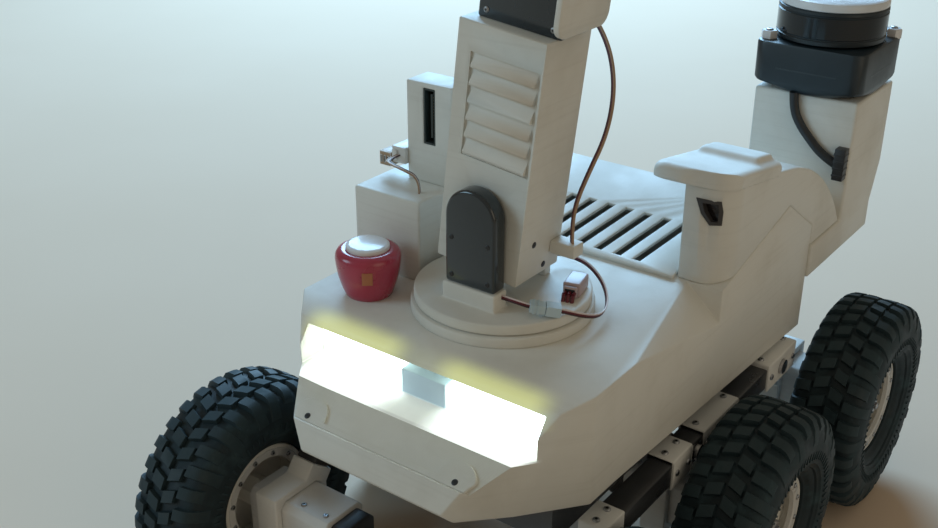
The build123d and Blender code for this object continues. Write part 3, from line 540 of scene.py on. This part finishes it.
def brick(mesh, low, high, where=Matrix.Identity(4), tone=0):
    """Adds a box between two corners, in millimetres in its place."""
    made = bmesh.ops.create_cube(mesh, size=1.0)["verts"]
    low, high = (Vector([value * MM for value in corner]) for corner in (low, high))
    for vertex in made:
        share = vertex.co + Vector((0.5, 0.5, 0.5))
        vertex.co = where @ Vector([a + (b - a) * s for a, b, s in zip(low, high, share)])
    for face in {face for vertex in made for face in vertex.link_faces}:
        face.material_index = tone


for index in range(tyre_pitches):
    for way in (-1, 1):
        stagger = index * pitch_angle + (0.25 if way > 0 else -0.25) * pitch_angle
        centre = [(way * 0.9, 56.5, 59.75), (way * 4.4, 56.5, 60.0), (way * 8.0, 56.4, 59.9)]
        block_of_tread(tyre_mesh, centre, stagger, 2.9, 3.4, way * 0.006)
        shoulder = [(way * 9.6, 56.2, 59.8), (way * 14.6, 55.6, 59.3), (way * 17.2, 54.4, 58.0),
                    (way * 19.3, 51.6, 54.6)]
        if (index + (way > 0)) % 2 == 0:
            shoulder.append((way * 20.75, 46.6, 49.0))
        block_of_tread(tyre_mesh, shoulder, stagger + 0.42 * pitch_angle, 2.7, 3.3, way * 0.002)
for way in (-1, 1):
    for index in range(2 * tyre_pitches):
        around = Matrix.Rotation((index + 0.5) * pitch_angle / 2, 4, "Z")
        brick(tyre_mesh, (38.6, -0.45, way * 19.6), (43.0, 0.45, way * 20.85), around)
wheel_set("tyre", tyre_mesh, [tyre_rubber])

# Hull
# One printed off-white shell: slanted bow with a lip, brow over the lamp recess, level hood, sloping
# deck and a slanted fairing. A thin rail with two round pads is screwed on along the bow's lip.
shell_tone, shell_deep = (0.76, 0.75, 0.70), (0.55, 0.53, 0.47)
shell_print = printed("printed shell", shell_tone, shell_deep)
hull_print = printed("printed hull", shell_tone, shell_deep)
shelf_top, brow_bottom, divider_half = 0.148, 0.160, 0.0122
tree = hull_print.node_tree
shader = tree.nodes["Principled BSDF"]
spot = node(tree, "SeparateXYZ", {"Vector": node(tree, "TexCoord").outputs["Object"]}).outputs
aside = maths(tree, "ABSOLUTE", spot["X"])

# Painted light: the hull's own colour emits a yellow-green glow on the brow over the lamps, and a
# pale pool of painted light on the shelf before them
painted_brow_glow = product(
    tree, spread(tree, spot["Z"], brow_bottom, brow_bottom + 0.0025, 0.0, 1.0),
    spread(tree, spot["Y"], -0.1235, -0.1330, 0.0, 1.0),
    spread(tree, aside, 0.054, 0.070, 1.0, 0.0),
    spread(tree, aside, 0.004, 0.020, 0.15, 1.0))
off_shelf = maths(tree, "ABSOLUTE", maths(tree, "SUBTRACT", spot["Z"], shelf_top))
painted_shelf_light = product(
    tree, maths(tree, "LESS_THAN", off_shelf, 0.0006),
    maths(tree, "LESS_THAN", spot["Y"], -0.124),
    spread(tree, aside, 0.058, 0.066, 1.0, 0.0),
    spread(tree, aside, 0.006, 0.022, 0.25, 1.0))
painted_brow_band = between(tree, painted_brow_glow, (0, 0, 0, 1), (0.52, 0.56, 0.10, 1))
tree.links.new(between(tree, painted_shelf_light, painted_brow_band, (1.35, 1.5, 1.45, 1)), shader.inputs["Emission Color"])
shader.inputs["Emission Strength"].default_value = 0.62

# Painted light: the divider between the lamps is coloured a pale blue, for a cool light painted on
# it away from their glow
painted_divider_light = product(
    tree, maths(tree, "LESS_THAN", aside, divider_half),
    maths(tree, "GREATER_THAN", spot["Z"], shelf_top + 0.0002),
    maths(tree, "LESS_THAN", spot["Z"], brow_bottom + 0.0003),
    maths(tree, "GREATER_THAN", spot["Y"], -0.1325),
    maths(tree, "LESS_THAN", spot["Y"], -0.1255))
shade = shader.inputs["Base Color"].links[0].from_socket
tree.links.new(between(tree, painted_divider_light, shade, (0.66, 0.84, 0.97, 1)), shader.inputs["Base Color"])
bow_middle = Vector((0, -153.55, 143.75))
bow_normal = Vector((0, -0.5944, 0.8042))
bow_rise = Vector((0, 0.8042, 0.5944))
panel_half = 6.9


def bow_panel(spot):
    """True on the bow's face, where its panel and the arches keep sharp edges."""
    offset = spot - bow_middle
    return abs(offset.dot(bow_normal)) < 3 and abs(offset.dot(bow_rise)) < panel_half


hull = copied("hull")
for vertex in hull.verts:
    offset = vertex.co / MM - bow_middle
    deep = offset.dot(bow_normal)
    if -2.5 < deep < -0.2 and abs(offset.dot(bow_rise)) < panel_half + 0.08:
        vertex.co -= deep * bow_normal * MM
bmesh.ops.remove_doubles(hull, verts=hull.verts, dist=0.03 * MM)
lip_shift = Vector((0, -4.0, -1.0)) * MM
for vertex in hull.verts:
    y, z = vertex.co.y / MM, vertex.co.z / MM
    if y < -147.9 and 137.0 < z < 147.95:
        vertex.co += lip_shift * min((-147.8 - y) / 11.5, 1.0)
place("hull_shell", rounded(hull, 0.6, sharp=bow_panel), [hull_print], "chassis", ["hull"])
lip_spot = Vector((0, -163.3, 138.5))
lip_up = Vector((0, 15.5, 9.5)).normalized()
lip_out = Vector((0, -9.5, 15.5)).normalized()
pad_x, pad_radius = 40.0, 9.0
border = [(46.2, -0.5), (46.9, 1.8)]
for step in range(1, 20):
    turn = step * pi / 20
    bow_edge = 47.2 + 0.58 * sin(turn) * pad_radius
    border.append((min(pad_x + pad_radius * cos(turn), bow_edge), 2.0 + pad_radius * sin(turn)))
border.append((30.9, 1.8))
border += [(-x, rise) for x, rise in reversed(border)]
rail = bmesh.new()
layers = []
for lift, shrink in ((-0.8, 1.0), (0.75, 1.0), (1.1, 0.99)):
    layer = []
    for x, rise in border:
        on_lip = lip_spot + Vector((x * shrink, 0, 0)) + lip_up * rise * shrink
        layer.append(rail.verts.new((on_lip + lip_out * lift) * MM))
    layers.append(layer)
skin(rail, layers)
place("bow_rail", rail, [shell_print], "chassis")
screws = bmesh.new()
for x in (-pad_x, pad_x):
    seat = lip_spot + Vector((x, 0, 0)) + 1.9 * lip_up + 0.7 * lip_out
    screw(screws, facing_to(lip_out, seat), 1.5, 0.8)
place("bow_screws", screws, [cap_black, painted_socket_shade], "chassis")

# Vent lid
# A thin printed panel laid on the sloping deck behind the hood. Its ten slots run slantwise, their
# near ends further from the cheek pod.
lid = copied("vent_lid")
near_shift, far_shift = Vector((-8.5, -2.8, -0.7)), Vector((0.0, -2.4, -0.6))
for vertex in lid.verts:
    x, y = vertex.co.x / MM, vertex.co.y / MM
    if -60 < x < 44 and -6 < y < 32:
        vertex.co += (near_shift if y < 10 else far_shift) * MM
place("slotted_lid", rounded(lid, 0.5), [shell_print], "chassis", ["vent_lid"])

# Head lamps
# Two frosted plastic bars over rows of small white lamps, clipped into the recess under the brow.
# They are lit, and each small lamp shows as a brighter spot.
lamp_half_pitch, lamp_height = 2.6 * MM, 0.1567
lit_bar = bpy.data.materials.new("lit lamp bar")
lit_bar.use_nodes = True
tree = lit_bar.node_tree
shader = tree.nodes["Principled BSDF"]
spot = node(tree, "SeparateXYZ", {"Vector": node(tree, "TexCoord").outputs["Object"]}).outputs
along = maths(tree, "PINGPONG", spot["X"], lamp_half_pitch)
across = maths(tree, "ABSOLUTE", maths(tree, "SUBTRACT", spot["Z"], lamp_height))
shine = spread(tree, distance(tree, along, across), 0.0004, 0.0042, 1.0, 0.0)
lit_colour = between(tree, shine, (0.62, 0.80, 0.78, 1), (1.0, 1.0, 0.96, 1))
bar_colour = between(tree, shine, (0.85, 0.92, 0.9, 1), (0.98, 0.98, 0.9, 1))
tree.links.new(lit_colour, shader.inputs["Emission Color"])
tree.links.new(bar_colour, shader.inputs["Base Color"])
shader.inputs["Emission Strength"].default_value = 4.5
shader.inputs["Roughness"].default_value = 0.3
eased("lamp_bars", "head_lamps", 1.2, lit_bar, "chassis", 3)

# Scanner tower
# A printed off-white box column at the stern that carries the scanner. Its heel is drawn in towards
# the hull, and it is printed in the same plastic.
eased("tower_column", "tower", 1.6, shell_print, "chassis", 3)

# Scanner
# A bought range scanner: a black moulded base, round at its foot and square above, with three white
# spacers on it, and a turning head with a dark window and a satin silver cap. Its cable has a plug.
scanner_black = moulded("scanner black", (0.010, 0.020, 0.027), 0.38, (0.08, 0.1, 0.11))
window_black = moulded("scanner window", (0.006, 0.012, 0.017), 0.12, grain=300.0, bump=0.00001)
cap_silver = moulded("scanner cap silver", (0.74, 0.77, 0.80), 0.26, (0.9, 0.92, 0.94), grain=1600.0)
spacer_white = moulded("spacer white", (0.8, 0.8, 0.82), 0.35)
scanner_x, scanner_y = 50.5, 168.0
base_half, base_top = 31.0, 253.0
scanner_axis = Matrix.Translation(Vector((scanner_x, scanner_y, 0)) * MM)
housing = bmesh.new()
levels = []
for height, inset, corner in (
        (226.0, 3.0, 27.5), (227.4, 1.2, 25.0), (229.0, 0.5, 19.0), (230.4, 0.1, 10.0),
        (232.0, 0.0, 7.5), (251.6, 0.0, 7.0), (252.6, 0.4, 7.0), (base_top, 1.4, 7.0)):
    straight = base_half - inset - corner
    ring = []
    for quarter in range(4):
        for step in range(9):
            turn = (quarter + step / 8) * pi / 2
            x = straight * (1 if quarter in (0, 3) else -1) + corner * cos(turn)
            y = straight * (1 if quarter in (0, 1) else -1) + corner * sin(turn)
            ring.append(housing.verts.new(Vector((scanner_x + x, scanner_y + y, height)) * MM))
    levels.append(ring)
skin(housing, levels)
for turn in range(4):
    seam_side = scanner_axis @ Matrix.Rotation(turn * pi / 2, 4, "Z")
    brick(housing, (30.4, -17, 238.6), (31.05, 17, 239.4), seam_side)
place("scanner_housing", housing, [scanner_black], "chassis", ["scanner_base"])
spacers = bmesh.new()
for x, y in ((24.3, 145.9), (77.9, 191.3), (24.3, 190.1)):
    spacer = [(-1, 4.6), (3.6, 4.6), (4.2, 4.0), (4.2, 1.0)]
    turned(spacers, spacer, 6, facing_to((0, 0, 1), (x, y, base_top)))
    screw(spacers, facing_to((0, 0, 1), (x, y, base_top + 4.1)), 2.0, 1.0, 1)
place("scanner_spacers", spacers, [spacer_white, screw_steel, painted_socket_shade], "chassis")
head = bmesh.new()
turned(head, [
    (248.0, 5.9), (253.7, 5.9), (253.7, 28.4), (254.3, 29.2), (256.4, 29.4), (256.9, 28.9),
    (257.4, 28.9), (257.9, 29.4), (268.8, 29.4), (269.3, 28.9), (269.8, 28.9), (270.3, 29.4),
    (271.6, 29.3), (272.5, 28.4)], 96, scanner_axis)
for face in head.faces:
    height = face.calc_center_median().z / MM
    face.material_index = 1 if 258.0 < height < 268.7 else 0
place("scanner_turning_head", head, [scanner_black, window_black], "scanner_rotor",
      ["scanner_head"])
cap = bmesh.new()
turned(cap, [
    (272.3, 28.6), (272.8, 29.2), (275.4, 29.2), (276.6, 28.5), (277.0, 27.2), (276.6, 26.2),
    (276.6, 6.0), (276.9, 5.4), (276.9, 1.0)], 80, scanner_axis)
place("scanner_top_cap", cap, [cap_silver], "scanner_rotor", ["scanner_cap"])
plug = copied("cable_plug")
for step in range(4):
    brick(plug, (72.7, 135.8, 185 + 4 * step), (79.3, 141.9, 186.4 + 4 * step))
place("cable_plug_ribbed", rounded(plug, 0.3), [cap_black], "chassis", ["cable_plug"])

# Cheek pod and visor
# Printed pod that runs back to the tower, with a small dark eye set in its front, and a rounded
# visor with a hump, glued over it. A dark sheet lining the eye's recess is painted shade.
eased("cheek_pod_shell", "cheek_pod", 1.2, shell_print, "chassis", 3,
      lambda spot: spot.y < 0 and 204 < spot.z < 218)
eye_black = moulded("eye black", (0.012, 0.009, 0.009), 0.14, (0.05, 0.05, 0.05), bump=0.00001)
eased("cheek_eye", "cheek_lens", 0.4, eye_black, "chassis")
corner_x, corner_y = 64.7, 5.0
pod_corner, visor_corner = 14.0, 14.9


def round_corner(x, radius):
    """The y at which the front corner of the pod or the visor lies, for an x in millimetres."""
    return corner_y - max(radius ** 2 - (x - corner_x) ** 2, 0) ** 0.5


# Painted shade: a dark sheet lines the walls of the eye's recess, for the shade inside it
painted_recess_shade = moulded("painted recess shade", (0.035, 0.03, 0.03), 0.45, (0.1, 0.1, 0.1))
rim = bmesh.new()
outline = [(61.2, 217.2), (66.5, 217.3), (72.6, 217.0), (73.6, 212.0), (73.5, 205.3), (68.6, 205.1),
           (64.2, 210.2)]
hole = [(64.4, 215.4), (67.0, 215.5), (71.6, 215.4), (72.0, 212.0), (71.9, 207.0), (69.2, 206.9),
        (66.0, 211.0)]
rings = []
for depth, edge in ((-0.35, outline), (-0.35, hole), (4.35, hole), (4.35, outline)):
    rings.append([
        rim.verts.new(Vector((x, round_corner(max(x, corner_x), pod_corner) + depth, z)) * MM)
        for x, z in edge])
skin(rim, rings, joined=True)
place("cheek_recess_shade", rounded(rim, 0.3), [painted_recess_shade], "chassis")
visor = place("visor_shell", copied("visor"), [shell_print], "chassis", ["visor"])


def modified(shape):
    """Gives a piece the mesh that its modifiers make."""
    evaluated = shape.evaluated_get(bpy.context.evaluated_depsgraph_get())
    shape.data = bpy.data.meshes.new_from_object(evaluated)
    shape.modifiers.clear()
    shape.data.shade_smooth()


def visor_top(y):
    """The height of the visor's flat top, which falls towards the stern."""
    return 231.6 - (y + 13) * 10.8 / 65


remesh = visor.modifiers.new("skin", "REMESH")
remesh.mode = "VOXEL"
remesh.voxel_size = 1.1 * MM
modified(visor)
for vertex in visor.data.vertices:
    x, y, z = vertex.co / MM
    if visor_top(y) - z > 2.5:
        x = min(x, 78.8)
    if x > 56 and y < 5:
        share = min((x - 56) / 9, 1)
        kept = max(y, (1 - share) * -13 + share * round_corner(x, visor_corner))
        z += visor_top(kept) - visor_top(y)
        y = kept
    hump = z - visor_top(y) - 0.5
    if hump > 0:
        z -= 0.35 * hump
    vertex.co = Vector((x, y, z)) * MM
easing = visor.modifiers.new("easing", "SMOOTH")
easing.factor = 0.6
easing.iterations = 14
modified(visor)

# Equipment case
# A printed box beside the turntable, with an upright port for plug-in boards on it. A white and a
# tan connector sit on the port's side.
eased("case_box", "side_case", 1.1, shell_print, "chassis")
port = copied("side_port")
for vertex in port.verts:
    if 0.216 < vertex.co.z < 0.256:
        vertex.co.z += 9.5 * MM
    elif vertex.co.z > 0.256:
        vertex.co.z += 2.5 * MM
place("port_box", rounded(port, 0.7), [shell_print], "chassis", ["side_port"])
socket_green = moulded("port socket", (0.02, 0.035, 0.034), 0.4, (0.1, 0.12, 0.12))
contact_gold = moulded("port contacts", (0.55, 0.42, 0.2), 0.3, Metallic=1.0)
socket = bmesh.new()
for low, high in (
        ((-54.4, -61.4, 233.1), (-53.6, -53.0, 259.9)), ((-48.4, -61.4, 233.1), (-47.6, -53.0, 259.9)),
        ((-53.7, -61.4, 259.1), (-48.3, -53.0, 259.9)), ((-53.7, -61.4, 233.1), (-48.3, -53.0, 233.9)),
        ((-53.7, -54.6, 233.8), (-48.3, -53.0, 259.2)), ((-51.6, -59.6, 236.0), (-50.4, -54.4, 257.0))):
    brick(socket, low, high)
for contact in range(14):
    z = 236.6 + 1.42 * contact
    brick(socket, (-51.8, -59.2, z), (-50.2, -55.8, z + 0.7), tone=1)
place("port_socket", socket, [socket_green, contact_gold], "chassis")
plug_white = moulded("plug white", (0.82, 0.81, 0.78), 0.4)
plug_tan = moulded("plug tan", (0.45, 0.31, 0.2), 0.42)
plugs = copied("case_plug")
brick(plugs, (-71.4, -65.0, 222.4), (-68.6, -63.5, 227.6))
brick(plugs, (-78.6, -65.5, 218.6), (-71.8, -57.5, 225.6), tone=1)
for step in range(3):
    brick(plugs, (-77.8 + step * 2.1, -66.1, 220.2), (-76.6 + step * 2.1, -65.3, 224.0), tone=2)
place("case_connectors", rounded(plugs, 0.3), [plug_white, plug_tan, cap_black], "chassis",
      ["case_plug"])

# Stop button
# A moulded glossy red mushroom set into the hood ahead of the case. It bulges towards its top, with
# a pale pad in the top and a blank tab on its flank.
button_red = moulded("button red", (0.42, 0.035, 0.08), 0.26, (0.6, 0.16, 0.18), grain=500.0,
                     Coat_Weight=0.35)
pad_white = moulded("button pad", (0.84, 0.85, 0.88), 0.22, grain=600.0)
tab_brown = moulded("button tab", (0.45, 0.17, 0.08), 0.4)
button_spot = (-52, -106, 174)
button_axis = facing_to((0, 0, 1), button_spot)
button = bmesh.new()
turned(button, [
    (0.0, 10.2), (0.5, 10.8), (3.0, 11.9), (7.0, 13.2), (11.0, 14.2), (15.0, 14.8), (18.2, 15.1),
    (20.2, 14.9), (21.6, 14.1), (22.5, 12.6), (22.8, 11.2), (22.6, 10.5), (22.4, 9.0)], 72, button_axis)
place("stop_button_body", button, [button_red], "chassis", ["stop_button"])
pad = bmesh.new()
turned(pad, [
    (22.4, 9.9), (23.2, 10.1), (24.2, 9.9), (24.75, 9.2), (24.95, 8.2), (25.0, 2.0)], 64, button_axis)
place("button_pad", pad, [pad_white], "chassis", ["button_cap"])
tab = bmesh.new()
tab_side = Matrix.Translation(Vector(button_spot) * MM) @ Matrix.Rotation(radians(-51), 4, "Z")
brick(tab, (13.2, -2.4, 10.6), (15.25, 2.4, 16.6), tab_side)
place("button_tab", rounded(tab, 0.3), [tab_brown], "chassis")

# Turntable
# A printed ring fixed on the hood, and the printed disc that turns on it. The disc has a low plinth
# that the foot servo stands on.
eased("turntable_fixed_ring", "turntable_ring", 0.8, shell_print, "chassis")
eased("turntable_top", "turntable_disc", 1.0, shell_print, "turntable", 3)

# Lead joint
# Two servo plugs joined under a pinkish shrink sleeve, stuck to the disc beside the mast. Three short
# maroon wires dip from it into the disc.
sleeve_pink = moulded("shrink sleeve", (0.50, 0.38, 0.40), 0.38, (0.7, 0.62, 0.62), grain=500.0)
joint_turn = Matrix.Translation(Vector((34.0, -66.0, 184.5)) * MM) @ Matrix.Rotation(radians(14), 4, "Z")
joint = bmesh.new()
brick(joint, (-4.0, -6.5, 0), (4.0, 6.5, 6.6), joint_turn)
brick(joint, (-3.2, -8.6, 0.4), (3.2, -6.4, 5.6), joint_turn, 1)
rounded(joint, 0.9, 3)
for number in (-1, 0, 1):
    bend = [(2.1 * number, -8.2, 3.0), (2.1 * number, -10.4, 2.8), (2.0 * number, -11.6, -0.4)]
    for near, far in zip(bend, bend[1:]):
        start, end = joint_turn @ (Vector(near) * MM), joint_turn @ (Vector(far) * MM)
        wire = [(0, 0.9), ((end - start).length / MM, 0.9)]
        turned(joint, wire, 12, facing_to(end - start, start / MM), 2)
place("lead_joint", joint, [sleeve_pink, cap_black, sleeve_maroon], "turntable")

# Foot servo and rear ear
# A glossy black servo body with a domed top carries the mast's tilt shaft in front, and a plain
# printed ear carries it behind.
servo_gloss = moulded("servo black", (0.012, 0.022, 0.030), 0.16, (0.08, 0.1, 0.12), grain=600.0,
                      bump=0.00002, Coat_Weight=0.6, Coat_Roughness=0.08)
eased("foot_servo_case", "foot_servo", 1.5, servo_gloss, "turntable", 4)
eased("rear_ear_plate", "rear_ear", 0.6, shell_print, "turntable")
screws = bmesh.new()
for x, z in ((-5.5, 196.5), (13.5, 196.5), (-5.5, 214.0), (13.5, 214.0)):
    screw(screws, facing_to((0, -1, 0), (x, -104.5, z)), 1.2, 0.5)
place("foot_servo_screws", screws, [cap_black, painted_socket_shade], "turntable")

# Mast column
# A printed box column with a louvred vent in its front, two dark screws low on its side, and a
# printed clip that holds the lead against it.
eased("column_box", "mast_column", 0.6, shell_print, "column",
      sharp=lambda spot: spot.y < -80 and 235 < spot.z < 298)
eased("column_clip", "lead_clip", 0.5, shell_print, "column")
foot = Vector((4, -79, 224))
lean = Matrix.Rotation(radians(6.5), 3, "Y")
mast_side = lean @ Vector((1, 0, 0))


def leaning(spot):
    """Where a spot on the upright mast comes when the mast leans about its foot's axis."""
    return foot + lean @ (Vector(spot) - foot)


screws = bmesh.new()
for y, z in ((-84.7, 213), (-74.9, 200)):
    screw(screws, facing_to(mast_side, leaning((24.9, y, z))), 1.5, 0.5)
place("column_screws", screws, [cap_black, painted_socket_shade], "column")

# Head servo
# A moulded glossy black servo, screwed on top of the column, whose two shafts carry the yoke. Four
# steel screws hold its front.
eased("head_servo_case", "head_servo", 0.9, servo_gloss, "column", 3)
screws = bmesh.new()
for x in (-9, 23):
    for z in (308, 339):
        screw(screws, facing_to((0, -1, 0), leaning((x, -88.9, z))), 1.3, 0.6)
place("head_servo_screws", screws, [screw_steel, painted_socket_shade], "column")

# Yoke and camera head
# A printed yoke with a narrow and a short broad ear tilts on the servo's shafts and carries the
# printed camera head. Two round lenses stand in black bezels on its front.
yoke = copied("head_yoke")
ear_lift = lean @ Vector((0, 0, 11.5)) * MM
for vertex in yoke.verts:
    unleaned = lean.transposed() @ (vertex.co / MM - foot)
    if unleaned.x > 0 and unleaned.z < 96:
        vertex.co += ear_lift
place("yoke_plate", rounded(yoke, 0.6), [shell_print], "head", ["head_yoke"])
eased("camera_box", "camera_head", 1.0, shell_print, "head", 3)
bezel_black = moulded("lens bezel", (0.018, 0.019, 0.021), 0.35, (0.1, 0.1, 0.1))
lens_glass = moulded("lens glass", (0.006, 0.006, 0.012), 0.05, grain=200.0, bump=0.000002,
                     Coat_Weight=1.0)
bezel = [(-0.6, 7.9), (2.5, 7.9), (2.95, 7.4), (2.95, 6.6), (1.9, 5.6), (1.6, 5.0)]
glass = [(1.2, 5.2), (1.75, 4.8), (2.2, 3.6), (2.45, 2.2), (2.5, 0.8)]
lenses = bmesh.new()
for x in (-11, 25):
    front = facing_to((0, -1, 0), leaning((x, -96, 369.5)))
    turned(lenses, bezel, 56, front)
    turned(lenses, glass, 40, front, 1)
place("camera_lenses", lenses, [bezel_black, lens_glass], "head", ["head_lenses"])
screws = bmesh.new()
for x in (-20, 34):
    for z in (358, 381):
        screw(screws, facing_to((0, -1, 0), leaning((x, -95.9, z))), 1.4, 0.7)
for x, way in ((-16.6, -1), (30.6, 1)):
    screw(screws, facing_to(way * mast_side, leaning((x, -79, 331.5))), 2.4, 1.0)
place("head_screws", screws, [screw_steel, painted_socket_shade], "head")

# Floor and light
# A plain pale floor, a soft cool light from behind on the case's side, a weaker one from the side
# and a warm fill.
floor = bmesh.new()
bmesh.ops.create_grid(floor, x_segments=1, y_segments=1, size=6.0)
floor_data = bpy.data.meshes.new("floor")
floor.to_mesh(floor_data)
floor.free()
floor_paint = bpy.data.materials.new("floor paint")
floor_paint.use_nodes = True
tree = floor_paint.node_tree
shader = tree.nodes["Principled BSDF"]
clouds = noise(tree, node(tree, "TexCoord").outputs["Object"], 5.0, 4.0)
floor_colour = between(tree, clouds, (0.70, 0.55, 0.42, 1), (0.74, 0.59, 0.46, 1))
tree.links.new(floor_colour, shader.inputs["Base Color"])
shader.inputs["Roughness"].default_value = 0.85
shader.inputs["Specular IOR Level"].default_value = 0.12
floor_data.materials.append(floor_paint)
floor_piece = bpy.data.objects.new("floor", floor_data)
bpy.context.collection.objects.link(floor_piece)

world = bpy.data.worlds.new("room")
world.use_nodes = True
world.node_tree.nodes["Background"].inputs["Color"].default_value = (1.0, 0.90, 0.71, 1)
world.node_tree.nodes["Background"].inputs["Strength"].default_value = 0.24
bpy.context.scene.world = world


def softbox(name, spot, target, size, power, colour):
    """A large soft lamp at a spot, turned to a target."""
    light = bpy.data.lights.new(name, "AREA")
    light.shape = "DISK"
    light.size = size
    light.energy = power
    light.color = colour
    lamp = bpy.data.objects.new(name, light)
    away = Vector(spot) - Vector(target)
    lamp.matrix_world = Matrix.Translation(spot) @ away.to_track_quat("Z", "Y").to_matrix().to_4x4()
    bpy.context.collection.objects.link(lamp)


softbox("window_behind", (-1.15, 1.55, 1.25), (0, 0, 0.15), 1.5, 66.0, (0.38, 0.69, 1.0))
softbox("window_side", (-1.4, -1.5, 1.0), (0, 0, 0.15), 1.0, 10.0, (0.50, 0.80, 1.0))
softbox("room_fill", (1.7, -0.5, 0.7), (0, 0, 0.1), 1.2, 2.6, (1.0, 0.84, 0.62))
bpy.context.scene.view_settings.view_transform = "Standard"
